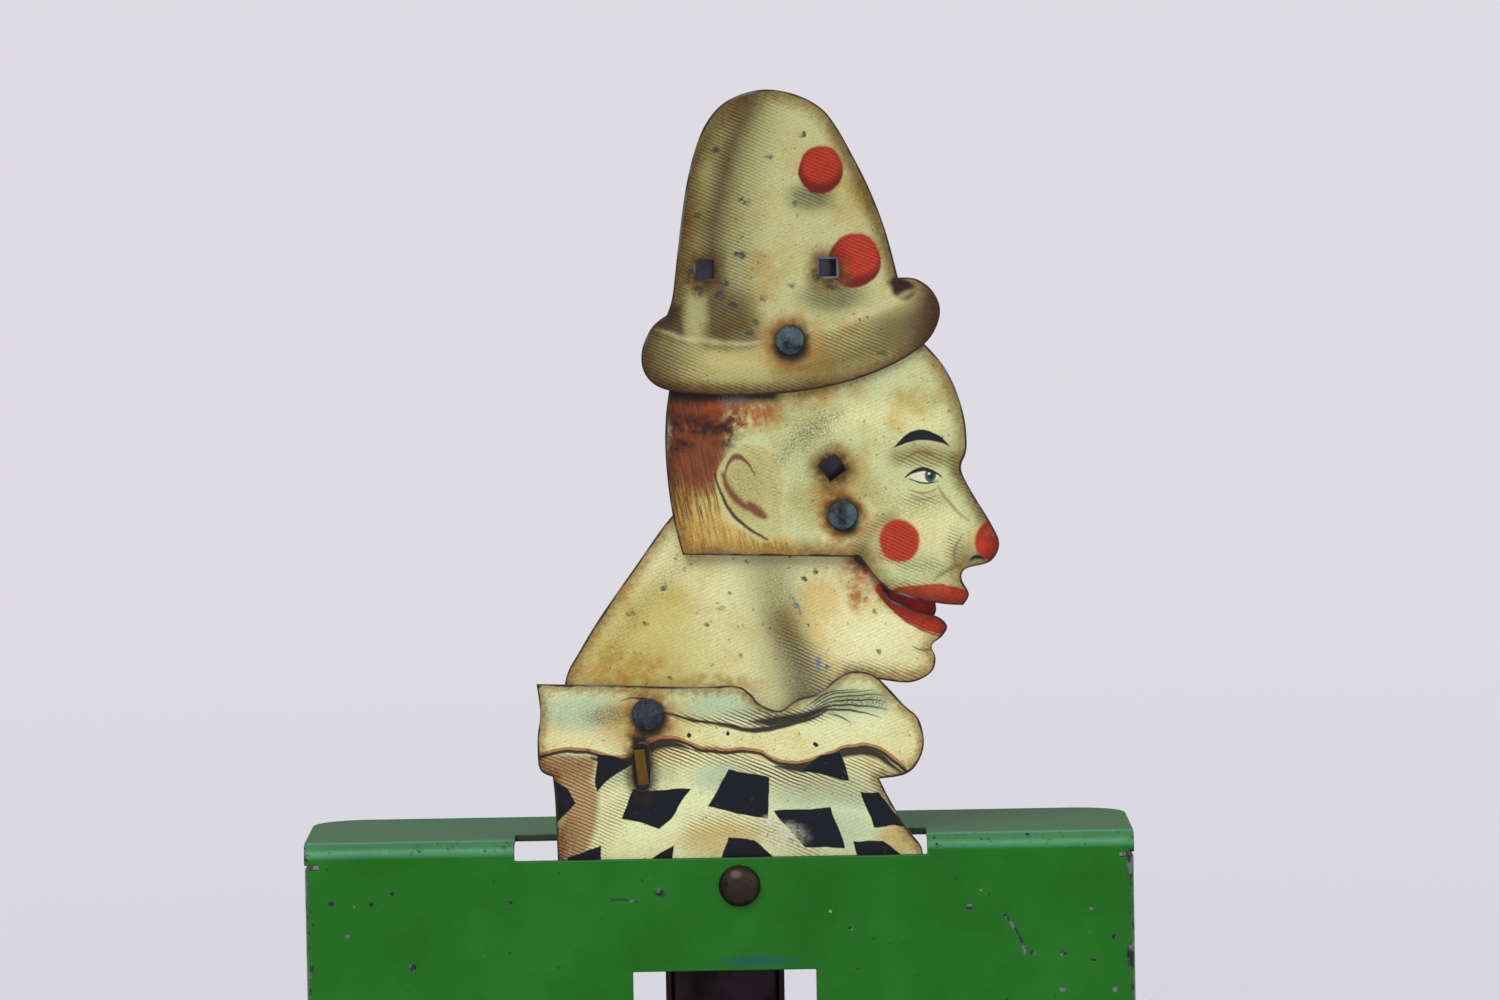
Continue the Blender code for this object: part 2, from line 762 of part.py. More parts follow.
def make_brackets():
    """Make the two angles that hold the housing's sides to the tray."""
    floor = tray_top + seat_gap
    middle = housing_depth / 2
    for side, label in ((-1, "left"), (1, "right")):
        face = housing_width / 2 - housing_sheet - seat_gap
        inner = face - housing_sheet
        profile = [(face - bracket_leg, floor), (face - bend_radius, floor)]
        for step in range(1, bend_steps):
            angle = math.pi / 2 * step / bend_steps
            profile.append((face - bend_radius * (1 - math.sin(angle)),
                            floor + bend_radius * (1 - math.cos(angle))))
        profile += [(face, floor + bend_radius), (face, floor + bracket_leg),
                    (inner, floor + bracket_leg), (inner, floor + bend_radius),
                    (face - bend_radius, floor + housing_sheet),
                    (face - bracket_leg, floor + housing_sheet)]
        outline = [(side * x, z) for x, z in profile]
        item = plate(f"{label}_bracket", [outline], middle - bracket_length / 2,
                     middle + bracket_length / 2, None, tinplate)
        hole = rivet_shank_radius + seat_gap
        for y in floor_rivet_depths():
            upright = stood(rod(hole, -cut_overrun, cut_overrun),
                            (side * (face - bracket_leg / 2), y, floor))
            combine(item, upright, "DIFFERENCE")
        level = laid(rod(hole, -cut_overrun, cut_overrun), (side * face, middle, side_rivet_z), side)
        combine(item, level, "DIFFERENCE")


def make_base_rivet(name, x, y):
    """Make an upright rivet, flush with the tray's underside, that holds a foot down."""
    seat = tray_top + 2 * seat_gap + housing_sheet
    profile = [(0, countersink), (rivet_shank_radius, countersink), (rivet_shank_radius, seat),
               (rivet_head_radius, seat), (rivet_shank_radius, seat + rivet_head_height),
               (0, seat + rivet_head_height)]
    stood(turned(name, profile, None, bright_steel), (x, y, 0))


def make_base_rivets():
    """Rivet the brackets and the motor's feet to the tray, and the brackets to the sides."""
    for number, place in enumerate(bracket_rivet_places(), 1):
        make_base_rivet(f"bracket_rivet_{number}", *place)
    for number, place in enumerate(motor_foot_places(), 1):
        make_base_rivet(f"motor_foot_rivet_{number}", *place)
    profile = rivet_profile(rivet_head_radius, rivet_head_height, rivet_shank_radius, 0,
                            housing_sheet * 2 + seat_gap,
                            rivet_head_radius * (1 - dome_edge_share), rivet_tail_height)
    for side, label in ((-1, "left"), (1, "right")):
        rivet = turned(f"{label}_side_rivet", profile, None, bright_steel)
        laid(rivet, (side * housing_width / 2, housing_depth / 2, side_rivet_z), side)


# The figure

def crown_outline():
    """Return the tab of the head plate that stands behind the hat, between its lugs."""
    left = hat_side - head_side + crown_side - crown_width / 2
    right = left + crown_width
    foot = hat_rise - head_rise + hat_lug_rise - 2 * hat_lug_height
    low = hat_rise - head_rise + crown_above_hat - crown_corner_radius
    outline = [(left, foot)]
    for centre, first in ((left + crown_corner_radius, math.pi),
                          (right - crown_corner_radius, math.pi / 2)):
        for step in range(corner_steps + 1):
            angle = first - math.pi / 2 * step / corner_steps
            outline.append((centre + crown_corner_radius * math.cos(angle),
                            low + crown_corner_radius * math.sin(angle)))
    outline.append((right, foot))
    return outline


def rivet_hole(radius=figure_shank_radius, x=0, z=0):
    """Return the hole that a figure rivet turns in."""
    return circle(radius + seat_gap, fine_round_steps, x, z)


def make_costume():
    """Make the fixed plate with the ruff and the chequered costume."""
    outline = share_outline(costume_shares, costume_width, costume_height)
    slot = slot_outline(anchor_slot_width, anchor_slot_height, anchor_side, -anchor_drop)
    fixing = circle(front_rivet_shank + seat_gap, fine_round_steps,
                    front_rivet_side - collar_side, front_rivet_z - collar_z)
    plate("costume_plate", [outline, rivet_hole(), slot, fixing], costume_front, costume_back,
          None, litho, collar_side, collar_z)
    profile = rivet_profile(front_rivet_radius, front_rivet_height, front_rivet_shank, 0,
                            costume_back, front_rivet_radius * (1 - dome_edge_share / 2),
                            rivet_tail_height)
    turned("front_rivet", profile, None, bronze, front_rivet_side, front_rivet_z, round_steps)
    profile = rivet_profile(collar_rivet_radius, figure_rivet_height, figure_shank_radius,
                            costume_front, neck_back, collar_rivet_radius * (1 - dome_edge_share / 2),
                            rivet_tail_height)
    turned("collar_rivet", profile, None, dark_steel, collar_side, collar_z, round_steps)


def washer(name, parent, x=0, z=0):
    """Make the thin ring that keeps two plates apart at their rivet."""
    loops = [circle(washer_radius, round_steps), rivet_hole()]
    return plate(name, loops, costume_back + seat_gap, neck_front - seat_gap, parent, dark_steel, x, z)


def make_neck(body):
    """Make the neck and jaw plate with its tail, and the red plate behind the mouth."""
    head_place = (head_side - collar_side, head_rise - collar_rise)
    outline = share_outline(neck_shares, neck_width, neck_height)
    ear = []
    for step in range(ear_steps + 1):
        angle = math.radians(150) - math.radians(150) * step / ear_steps
        ear.append((head_place[0] + neck_ear_radius * math.cos(angle),
                    head_place[1] + neck_ear_radius * math.sin(angle)))
    outline += ear + share_outline(jaw_shares, neck_width, neck_height)
    pin_x = rocker_side + drive_pin_side - collar_side
    pin_z = drive_pin_z - collar_z
    slope = math.atan2(pin_x, -pin_z)
    slot = slot_outline(2 * (drive_pin_radius + running_gap), drive_slot_length, pin_x, pin_z, slope)
    window = box_outline(anchor_window_width, anchor_window_height, anchor_side, -anchor_drop)
    fixing = rivet_hole(mouth_rivet_shank, head_place[0] + mouth_rivet_side,
                        head_place[1] - mouth_rivet_drop)
    loops = [outline, rivet_hole(), rivet_hole(x=head_place[0], z=head_place[1]), slot, window, fixing]
    plate("neck_plate", loops, neck_front, neck_back, body, litho)
    mouth = share_outline(mouth_shares, mouth_width, mouth_height)
    own_fixing = rivet_hole(mouth_rivet_shank, mouth_rivet_side, -mouth_rivet_drop)
    plate("mouth_plate", [mouth, rivet_hole(), own_fixing], mouth_front, mouth_back, body,
          red_litho, *head_place)
    small = rivet_profile(mouth_rivet_radius, mouth_rivet_height, mouth_rivet_shank, neck_front,
                          mouth_back, mouth_rivet_radius, mouth_rivet_height)
    turned("mouth_rivet", small, body, dark_steel, head_place[0] + mouth_rivet_side,
           head_place[1] - mouth_rivet_drop)
    profile = rivet_profile(head_rivet_radius, figure_rivet_height, figure_shank_radius,
                            costume_front, mouth_back, head_rivet_radius * (1 - dome_edge_share / 2),
                            rivet_tail_height)
    turned("head_rivet", profile, body, dark_steel, *head_place, round_steps)
    washer("head_washer", body, *head_place)


def make_head(body):
    """Make the upper head plate, with the lanced lug that its link holds."""
    hat_place = (hat_side - head_side, hat_rise - head_rise)
    outline = share_outline(head_shares, head_width, head_height) + crown_outline()
    outline += share_outline(face_shares, head_width, head_height)
    hole = box_outline(head_hole_size, head_hole_size, head_lug_side, head_lug_rise, head_lug_turn)
    loops = [outline, rivet_hole(), rivet_hole(x=hat_place[0], z=hat_place[1]), hole]
    item = plate("head_plate", loops, costume_front, costume_back, body, litho)
    lug = plate("lug", [box_outline(head_lug_width, litho_sheet, *head_lug_place(), head_lug_turn)],
                costume_front + litho_sheet / 4, head_lug_back, body, litho)
    combine(item, lug, "UNION")
    profile = rivet_profile(hat_rivet_radius, figure_rivet_height, figure_shank_radius, hat_front,
                            costume_back, hat_rivet_radius * (1 - dome_edge_share / 2),
                            rivet_tail_height)
    turned("hat_rivet", profile, body, dark_steel, *hat_place, round_steps)


def head_lug_place():
    """Return the head lug's place beside its hole, from the head's pivot."""
    reach = (head_hole_size + litho_sheet) / 2
    return (head_lug_side - reach * math.sin(head_lug_turn),
            head_lug_rise + reach * math.cos(head_lug_turn))


def make_hat(body):
    """Make the hat plate, whose two bent lugs stand each side of the head's crown tab."""
    outline = share_outline(hat_shares, hat_width, hat_height)
    loops = [outline, rivet_hole()]
    lugs = []
    for side in (-1, 1):
        reach = crown_side + side * (crown_width / 2 + crown_play + hat_lug_width / 2)
        hole = reach + (hat_lug_width + hat_hole_size) / 2
        loops.append(box_outline(hat_hole_size, hat_hole_size, hole, hat_lug_rise))
        lugs.append(box_outline(hat_lug_width, hat_lug_height, reach, hat_lug_rise))
    item = plate("hat_plate", loops, hat_front, hat_front + litho_sheet, body, litho)
    for lug in lugs:
        tab = plate("lug", [lug], hat_front + litho_sheet / 2, costume_back + seat_gap, body, litho)
        combine(item, tab, "UNION")


def make_link(body):
    """Make the link from the costume's slot up to the head's lug."""
    lug_side, lug_rise = head_lug_place()
    top_x = head_side + lug_side - anchor_x
    top_z = head_z + lug_rise - anchor_z
    length = math.hypot(top_x, top_z)
    lean = math.atan2(top_x, top_z)
    eye_hole = head_lug_width / 2 + link_eye_play
    eye = eye_hole + link_width / 2
    half = link_width / 2
    outline = []
    for step in range(fine_round_steps // 2 + 1):
        angle = math.pi + math.pi * step / (fine_round_steps // 2)
        outline.append((half * math.cos(angle), half * math.sin(angle)))
    spread = math.asin(half / eye)
    for step in range(round_steps):
        angle = spread - math.pi / 2 + (math.tau - 2 * spread) * step / (round_steps - 1)
        outline.append((eye * math.cos(angle), length + eye * math.sin(angle)))
    hole = circle(eye_hole, fine_round_steps, 0, length)
    turned_loops = []
    for loop in (outline, hole):
        turned_loops.append([(x * math.cos(lean) + z * math.sin(lean),
                              z * math.cos(lean) - x * math.sin(lean)) for x, z in loop])
    item = plate("jaw_link", turned_loops, link_front, link_back, body, brass)
    tongue = plate("tongue", [box_outline(link_tongue_width, link_tongue_height)],
                   costume_front - link_tongue_proud, link_back - link_thickness / 2, body, brass)
    combine(item, tongue, "UNION")


# Rocker and crank

def make_rocker(body):
    """Fold the rocker's channel, which stands behind the window, and seat its drive pin."""
    blank_half = rocker_width / 2 - rocker_sheet - rocker_bend_radius
    arc = rocker_bend_radius * math.pi / 2
    flat_half = blank_half + arc + rocker_flange - rocker_sheet - rocker_bend_radius
    low = rocker_bottom - rocker_pivot_height
    shoulder = rocker_foot_height - rocker_pivot_height
    high = rocker_top - rocker_pivot_height
    flange_top = high - rocker_head_clear
    foot = rocker_foot_width / 2
    right = [(foot - rocker_foot_width / 4, low), (foot, low + rocker_foot_width / 4),
             (foot, shoulder), (flat_half, shoulder + rocker_foot_width / 4),
             (flat_half, flange_top), (blank_half, flange_top), (blank_half, high)]
    outline = right + [(-x, z) for x, z in reversed(right)]
    slot_middle = second_height - rocker_pivot_height
    slot = slot_outline(2 * (crank_pin_radius + running_gap),
                        2 * (crank_throw + crank_pin_radius + running_gap), 0, slot_middle)
    pin_hole = circle(drive_pin_radius + seat_gap, fine_round_steps, drive_pin_side,
                      drive_pin_z - rocker_pivot_height)
    mesh = bmesh.new()
    fill_loops(mesh, [outline, rivet_hole(stud_radius), slot, pin_hole])
    for side in (-1, 1):
        fold_edge(mesh, blank_half, Vector((side, 0, 0)), rocker_bend_radius, -1)
    folded_sheet("rocker_arm", mesh, rocker_front, rocker_sheet, body, blued_steel)
    tail = rocker_back + seat_gap
    flange = rocker_front - seat_gap
    profile = shaft_profile([neck_front - seat_gap, (drive_pin_radius, flange - rivet_tail_height),
                             (drive_pin_flange_radius, flange), (drive_pin_radius, tail),
                             (drive_pin_flange_radius, tail + rivet_tail_height)])
    turned("drive_pin", profile, body, bright_steel, drive_pin_side,
           drive_pin_z - rocker_pivot_height)


def make_rocker_stud():
    """Make the shouldered stud that carries the rocker on the motor's front plate."""
    collar = rocker_back + seat_gap
    profile = shaft_profile([rocker_front - seat_gap - stud_head_height,
                             (stud_head_radius, rocker_front - seat_gap), (stud_radius, collar),
                             (stud_head_radius, motor_front - seat_gap),
                             (pillar_tenon_radius, motor_inner + seat_gap),
                             (pillar_radius, motor_inner + seat_gap + rivet_tail_height / 2)])
    turned("rocker_stud", profile, None, bright_steel, rocker_side, rocker_pivot_height)


# Clockwork

def motor_holes(back):
    """Return the holes of a motor plate, whose back one also passes key, lever and finger."""
    pivot_radius = arbor_radius * pivot_share
    holes = [circle(pivot_radius + pivot_clearance, fine_round_steps, second_x, second_z),
             circle(pivot_radius + pivot_clearance, fine_round_steps, third_x, third_z),
             circle(pivot_radius + pivot_clearance, fine_round_steps, third_x, verge_z),
             circle(pillar_tenon_radius + seat_gap, fine_round_steps, great_x, post_z)]
    arbor = winding_radius * pivot_share
    holes.append(circle(arbor + pivot_clearance, fine_round_steps, great_x, great_z))
    for x, z in pillar_places():
        holes.append(circle(pillar_tenon_radius + seat_gap, fine_round_steps, x, z))
    if back:
        holes.append(circle(pillar_tenon_radius + seat_gap, fine_round_steps, lever_side, lever_height))
        holes.append(slot_outline(2 * (finger_radius + running_gap), finger_slot_width,
                                  lever_side + finger_side - finger_throw / 2,
                                  lever_height - finger_drop, math.pi / 2))
    else:
        holes.append(circle(pillar_tenon_radius + seat_gap, fine_round_steps, rocker_side,
                            rocker_pivot_height))
    return holes


def pillar_places():
    """Return where the motor's four pillars stand."""
    reach = motor_width / 2 - pillar_inset
    return [(side * reach, z) for side in (-1, 1) for z in (pillar_low, motor_top - pillar_inset)]


def make_motor_plate(name, front, back_plate):
    """Fold one motor plate with its two feet."""
    half = motor_width / 2
    arc = bend_radius * math.pi / 2
    fold_line = tray_top + seat_gap + bend_radius
    toe = fold_line - arc - motor_foot + bend_radius
    heel = half - motor_foot_width
    waist = fold_line + motor_arch
    right = [(heel, waist), (heel, toe), (half, toe), (half, motor_top - motor_corner_radius)]
    for step in range(1, corner_steps + 1):
        angle = math.pi / 2 * step / corner_steps
        right.append((half - motor_corner_radius * (1 - math.cos(angle)),
                      motor_top - motor_corner_radius * (1 - math.sin(angle))))
    outline = right + [(-x, z) for x, z in reversed(right)]
    holes = motor_holes(back_plate)
    reach = motor_foot / 2 + bend_radius / 2
    for side in (-1, 1):
        holes.append(circle(rivet_shank_radius + seat_gap, fine_round_steps,
                            side * (half - motor_foot_width / 2),
                            fold_line - arc - reach + bend_radius))
    mesh = bmesh.new()
    fill_loops(mesh, [outline] + holes)
    fold_edge(mesh, -fold_line, Vector((0, 0, -1)), bend_radius, 1)
    folded_sheet(name, mesh, front, motor_sheet, None, bright_steel)


def make_pillar(name, x, z, radius=pillar_radius):
    """Make one pillar, riveted over at both motor plates."""
    low = motor_front - seat_gap - pillar_tenon_length
    high = motor_rear + seat_gap + pillar_tenon_length
    profile = shaft_profile([low, (pillar_radius, motor_front - seat_gap),
                             (pillar_tenon_radius, motor_inner + seat_gap),
                             (radius, motor_back - seat_gap),
                             (pillar_tenon_radius, motor_rear + seat_gap), (pillar_radius, high)])
    turned(name, profile, None, bright_steel, x, z)


def make_frame():
    """Make the motor's plates, pillars and the fixed studs."""
    make_motor_plate("motor_front_plate", motor_front, False)
    make_motor_plate("motor_back_plate", motor_back, True)
    for number, place in enumerate(pillar_places(), 1):
        make_pillar(f"motor_pillar_{number}", *place)
    make_pillar("spring_post", great_x, post_z, post_radius)
    profile = shaft_profile([motor_back - seat_gap - pillar_tenon_length,
                             (pillar_radius, motor_back - seat_gap),
                             (pillar_tenon_radius, motor_rear + seat_gap),
                             (stud_head_radius, lever_front - seat_gap),
                             (stud_radius, lever_front + lever_sheet + seat_gap),
                             (stud_head_radius, lever_front + lever_sheet + seat_gap
                              + stud_head_height)])
    turned("lever_stud", profile, None, bright_steel, lever_side, lever_height)


def make_mainspring():
    """Coil the mainspring's strip, from the arbor out to its post."""
    count = int(spring_turns * spring_steps_per_turn)
    last = math.pi / 2
    half = spring_strip / 2
    growth = (spring_outer_radius - spring_inner_radius) / count
    sides = ([], [])
    for step in range(count + 1):
        angle = last - math.tau * spring_turns * (1 - step / count)
        radius = spring_inner_radius + growth * step
        for side, shift in zip(sides, (-half, half)):
            side.append(((radius + shift) * math.cos(angle), (radius + shift) * math.sin(angle)))
    front = motor_inner + spring_layer
    mesh = bmesh.new()
    rings = []
    for (inner_x, inner_z), (outer_x, outer_z) in zip(*sides):
        rings.append([mesh.verts.new((inner_x, front, inner_z)),
                      mesh.verts.new((outer_x, front, outer_z)),
                      mesh.verts.new((outer_x, front + spring_height, outer_z)),
                      mesh.verts.new((inner_x, front + spring_height, inner_z))])
    for first, second in zip(rings, rings[1:]):
        for low, high in ((0, 1), (1, 2), (2, 3), (3, 0)):
            mesh.faces.new((first[low], first[high], second[high], second[low]))
    mesh.faces.new(rings[0])
    mesh.faces.new(rings[-1])
    item = add_object("mainspring", mesh, None, blued_steel)
    item.location = (great_x, 0, great_z)
    print("least gap between the mainspring's turns:", growth * spring_steps_per_turn - spring_strip)


def web_holes(pitch_radius):
    """Return the round holes that lighten a wheel's web."""
    reach, size = spoke_hole_shares
    holes = []
    for index in range(spoke_holes):
        angle = math.tau * index / spoke_holes
        holes.append(circle(pitch_radius * size, fine_round_steps, pitch_radius * reach * math.cos(angle),
                            pitch_radius * reach * math.sin(angle)))
    return holes


def make_great_wheel(body):
    """Make the great wheel and the leaf click riveted to its face."""
    outline = gear_outline(great_teeth, coarse_module, great_turn + math.pi)
    bore = circle(winding_radius + pivot_clearance)
    front = motor_inner + great_layer
    click_hole_x, click_hole_z = click_place()
    hole = rivet_hole(click_rivet_shank, click_hole_x, click_hole_z)
    plate("great_wheel", [outline, bore, hole] + web_holes(coarse_module * great_teeth / 2)[1:4],
          front, front + wheel_thickness, body, brass)
    click_back = front - seat_gap
    leaf = [(click_hole_x + click_width / 2, click_hole_z - click_width / 2),
            (click_hole_x + click_width / 2, click_hole_z + click_width / 2),
            (click_hole_x - click_width / 2, click_hole_z + click_width / 2),
            (click_play, ratchet_radius + click_width / 2),
            (click_play, ratchet_radius - ratchet_depth + 2 * click_play)]
    loops = [leaf, rivet_hole(click_rivet_shank, click_hole_x, click_hole_z)]
    plate("click_leaf", loops, click_back - wheel_thickness, click_back, body, bright_steel)
    profile = rivet_profile(click_width / 2 - seat_gap, mouth_rivet_height, click_rivet_shank,
                            click_back - wheel_thickness, front + wheel_thickness,
                            click_width / 2 - seat_gap, mouth_rivet_height)
    turned("click_rivet", profile, body, bright_steel, click_hole_x, click_hole_z)


def click_place():
    """Return the click rivet's place on the great wheel, from the wheel's middle."""
    return (click_length, ratchet_radius + click_width)


def make_winding_shaft(body):
    """Make the winding arbor, its ratchet wheel and the key."""
    pivot_radius = winding_radius * pivot_share
    stub_start = motor_rear + seat_gap + pillar_tenon_length
    profile = shaft_profile([motor_front - seat_gap - pillar_tenon_length,
                             (pivot_radius, motor_inner + seat_gap),
                             (winding_radius, motor_back - seat_gap),
                             (pivot_radius, stub_start)])
    item = turned("winding_arbor", profile, body, bright_steel)
    stub = plate("stub", [box_outline(key_square, key_square)], stub_start - seat_gap,
                 motor_rear + key_stub, body, bright_steel)
    combine(item, stub, "UNION")
    front = motor_inner + ratchet_layer
    loops = [ratchet_outline(), circle(winding_radius + seat_gap)]
    plate("ratchet_wheel", loops, front, front + wheel_thickness, body, bright_steel)
    start = motor_rear + key_start
    bore = key_square + 2 * seat_gap
    key = plate("winding_key", [circle(key_sleeve_radius, round_steps), box_outline(bore, bore)], start,
                start + key_sleeve_length, body, bright_steel)
    wing_outline = share_outline(key_wing_shares, key_wing_width, key_wing_height)
    holes = [circle(key_wing_hole_radius, fine_round_steps, side * key_wing_width * key_hole_share,
                    key_wing_height * key_hole_rise_share) for side in (-1, 1)]
    wing = plate("wing", [wing_outline] + holes, -key_wing_thickness / 2, key_wing_thickness / 2,
                 body, bright_steel)
    wing.data.transform(Matrix.Rotation(math.radians(-90), 4, "X"))
    wing.location = (0, start + key_sleeve_length + key_wing_height * key_wing_seat_share, 0)
    combine(key, wing, "UNION")


def make_arbor(name, body, rear_end, front_end):
    """Make a train arbor with reduced pivots in the two plates."""
    pivot_radius = arbor_radius * pivot_share
    profile = shaft_profile([front_end, (pivot_radius, motor_inner + seat_gap),
                             (arbor_radius, motor_back - seat_gap), (pivot_radius, rear_end)])
    turned(name, profile, body, bright_steel)


def make_second_shaft(body):
    """Make the second arbor with its pinion, wheel, crank disc and crank pin."""
    rear = motor_rear + seat_gap
    disc_back = motor_front - 2 * seat_gap - pillar_tenon_length
    disc_front = disc_back - crank_disc_thickness
    make_arbor("second_arbor", body, rear, disc_front - seat_gap)
    bore = circle(arbor_radius + seat_gap)
    facing = great_turn
    front = motor_inner + great_layer - pinion_overhang
    pinion = gear_outline(second_pinion_teeth, coarse_module, facing + math.pi / second_pinion_teeth)
    plate("second_pinion", [pinion, bore], front, front + wheel_thickness + 2 * pinion_overhang, body,
          bright_steel)
    front = motor_inner + second_layer
    wheel = gear_outline(second_teeth, fine_module, third_turn)
    plate("second_wheel", [wheel, bore] + web_holes(fine_module * second_teeth / 2), front,
          front + wheel_thickness * fine_wheel_share, body, brass)
    small_bore = circle(arbor_radius * pivot_share + seat_gap)
    disc = [circle(crank_disc_radius, round_steps), small_bore,
            rivet_hole(crank_pin_radius, 0, crank_throw)]
    plate("crank_disc", disc, disc_front, disc_back, body, brass)
    pin_front = rocker_back + seat_gap
    profile = shaft_profile([pin_front, (crank_pin_radius, disc_back)])
    turned("crank_pin", profile, body, bright_steel, 0, crank_throw)


def make_third_shaft(body):
    """Make the third arbor with its pinion and the pointed escape wheel."""
    make_arbor("third_arbor", body, motor_rear + seat_gap, motor_front - seat_gap)
    bore = circle(arbor_radius + seat_gap)
    front = motor_inner + second_layer - pinion_overhang
    facing = third_turn + math.pi
    pinion = gear_outline(third_pinion_teeth, fine_module, facing + math.pi / third_pinion_teeth)
    plate("third_pinion", [pinion, bore], front,
          front + wheel_thickness * fine_wheel_share + 2 * pinion_overhang, body, bright_steel)
    front = motor_inner + star_layer
    plate("star_wheel", [star_outline(), bore], front, front + wheel_thickness, body, brass)


def make_verge(body):
    """Make the verge: a staff, an anchor plate with its weight, and two pins."""
    make_arbor("verge_staff", body, motor_rear + seat_gap, motor_front - seat_gap)
    plate_front = motor_inner + star_layer + wheel_thickness + running_gap
    half = verge_arm_width / 2
    pin_x, pin_z = verge_pin_place()
    arm_low = pin_z - verge_arm_width
    outline = [(half * 2, 0), (pin_x + half, pin_z), (pin_x + half / 2, arm_low),
               (pin_x - half, arm_low), (pin_x - half, pin_z + half), (half, -half * 2)]
    outline += [(-x, z) for x, z in reversed(outline)]
    neck = half
    dome = verge_weight_radius
    start = math.asin(neck / dome)
    weight = []
    for step in range(round_steps + 1):
        angle = -math.pi / 2 - start - (math.tau - 2 * start) * step / round_steps
        weight.append((dome * math.cos(angle), verge_weight_rise + dome * math.sin(angle)))
    loops = [outline + weight, circle(arbor_radius + seat_gap)]
    for side in (-1, 1):
        loops.append(circle(verge_pin_radius + seat_gap, fine_round_steps // 2, side * pin_x, pin_z))
    plate("verge_plate", loops, plate_front, plate_front + wheel_thickness, body, bright_steel)
    profile = shaft_profile([motor_inner + star_layer - running_gap,
                             (verge_pin_radius, plate_front + wheel_thickness)])
    for side, label in ((-1, "left"), (1, "right")):
        turned(f"{label}_verge_pin", profile, body, bright_steel, side * pin_x, pin_z)


def verge_pin_place():
    """Return the right pin's place from the verge's staff, off the star wheel's tips."""
    reach = (star_radius + verge_pin_play) * math.sin(math.pi / 4)
    return reach, reach - verge_rise


def make_stop_lever(body):
    """Make the stop lever behind the motor, with the finger that reaches the verge's weight."""
    half = lever_width / 2
    drop = finger_drop + half
    arc_start = math.asin(half / lever_knob_radius)
    outline = [(finger_side - half, -drop), (finger_side + half, -drop), (half, -half)]
    for step in range(round_steps // 2 + 1):
        angle = -math.pi + arc_start + (math.tau - 2 * arc_start) * step / (round_steps // 2)
        outline.append((lever_reach + lever_knob_radius * math.cos(angle),
                        lever_knob_radius * math.sin(angle)))
    outline += [(-half / 2, half), (-half, half / 2)]
    finger_place = (finger_side, -finger_drop)
    loops = [outline, rivet_hole(stud_radius), rivet_hole(finger_radius, *finger_place)]
    plate("stop_lever", loops, lever_front, lever_front + lever_sheet, body, bronze)
    seat = lever_front + lever_sheet + seat_gap
    front = motor_inner + star_layer + wheel_thickness + running_gap
    profile = shaft_profile([front, (finger_radius, seat),
                             (finger_radius * 2, seat + rivet_tail_height)])
    turned("stop_finger", profile, body, bright_steel, *finger_place)


clear_scene()
neck_body = pivot("neck_pivot", collar_side, collar_z)
head_body = pivot("head_pivot", head_side, head_z, neck_body)
hat_body = pivot("hat_pivot", hat_side, hat_z, head_body)
link_body = pivot("link_pivot", anchor_x, anchor_z)
rocker_body = pivot("rocker_pivot", rocker_side, rocker_pivot_height)
winding_body = pivot("winding_pivot", great_x, great_z)
great_body = pivot("great_wheel_pivot", great_x, great_z)
second_body = pivot("second_pivot", second_x, second_z)
third_body = pivot("third_pivot", third_x, third_z)
verge_body = pivot("verge_pivot", third_x, verge_z)
lever_body = pivot("lever_pivot", lever_side, lever_height)

make_front_housing()
make_base_tray()
make_brackets()
make_base_rivets()
make_costume()
washer("collar_washer", None, collar_side, collar_z)
make_neck(neck_body)
make_head(head_body)
make_hat(hat_body)
make_link(link_body)
make_rocker(rocker_body)
make_rocker_stud()
make_frame()
make_mainspring()
make_great_wheel(great_body)
make_winding_shaft(winding_body)
make_second_shaft(second_body)
make_third_shaft(third_body)
make_verge(verge_body)
make_stop_lever(lever_body)
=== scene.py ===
"""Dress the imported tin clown: printed plates, enamelled housing, clockwork, light and camera.

Metres, +Z up. X runs along the housing's front and Y away from the viewer.
The printed artwork is laid out in millimetres on the same X and Z.
"""
from __future__ import annotations

import json
import logging
import math
import random
from collections.abc import Sequence
from dataclasses import dataclass, field
from enum import Enum, IntEnum

import bmesh
import bpy
from mathutils import Matrix, Vector, kdtree, noise


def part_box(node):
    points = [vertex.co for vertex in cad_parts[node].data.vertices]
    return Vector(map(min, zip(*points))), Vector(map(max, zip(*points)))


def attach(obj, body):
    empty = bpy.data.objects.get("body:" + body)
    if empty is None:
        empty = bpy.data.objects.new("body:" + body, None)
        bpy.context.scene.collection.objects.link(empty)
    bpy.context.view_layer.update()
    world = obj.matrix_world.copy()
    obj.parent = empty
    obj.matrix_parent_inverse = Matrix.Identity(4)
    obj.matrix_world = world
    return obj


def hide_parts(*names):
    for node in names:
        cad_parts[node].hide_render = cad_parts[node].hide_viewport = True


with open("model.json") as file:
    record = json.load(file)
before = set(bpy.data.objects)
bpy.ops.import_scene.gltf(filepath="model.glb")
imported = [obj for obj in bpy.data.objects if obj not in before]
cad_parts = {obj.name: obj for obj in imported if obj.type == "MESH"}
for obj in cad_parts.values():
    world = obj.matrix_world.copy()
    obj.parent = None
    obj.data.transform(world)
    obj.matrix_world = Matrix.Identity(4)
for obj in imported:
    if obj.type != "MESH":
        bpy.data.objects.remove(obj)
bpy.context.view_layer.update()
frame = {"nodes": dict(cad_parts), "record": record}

MM = 0.001
WELD = 0.000002  # Points nearer than this are one
FLAT = math.radians(0.5)  # Faces that differ by less are joined
FACES_FRONT = -0.99  # The greatest Y of a front face's normal
EDGE_DISTANCE = "edge_distance"

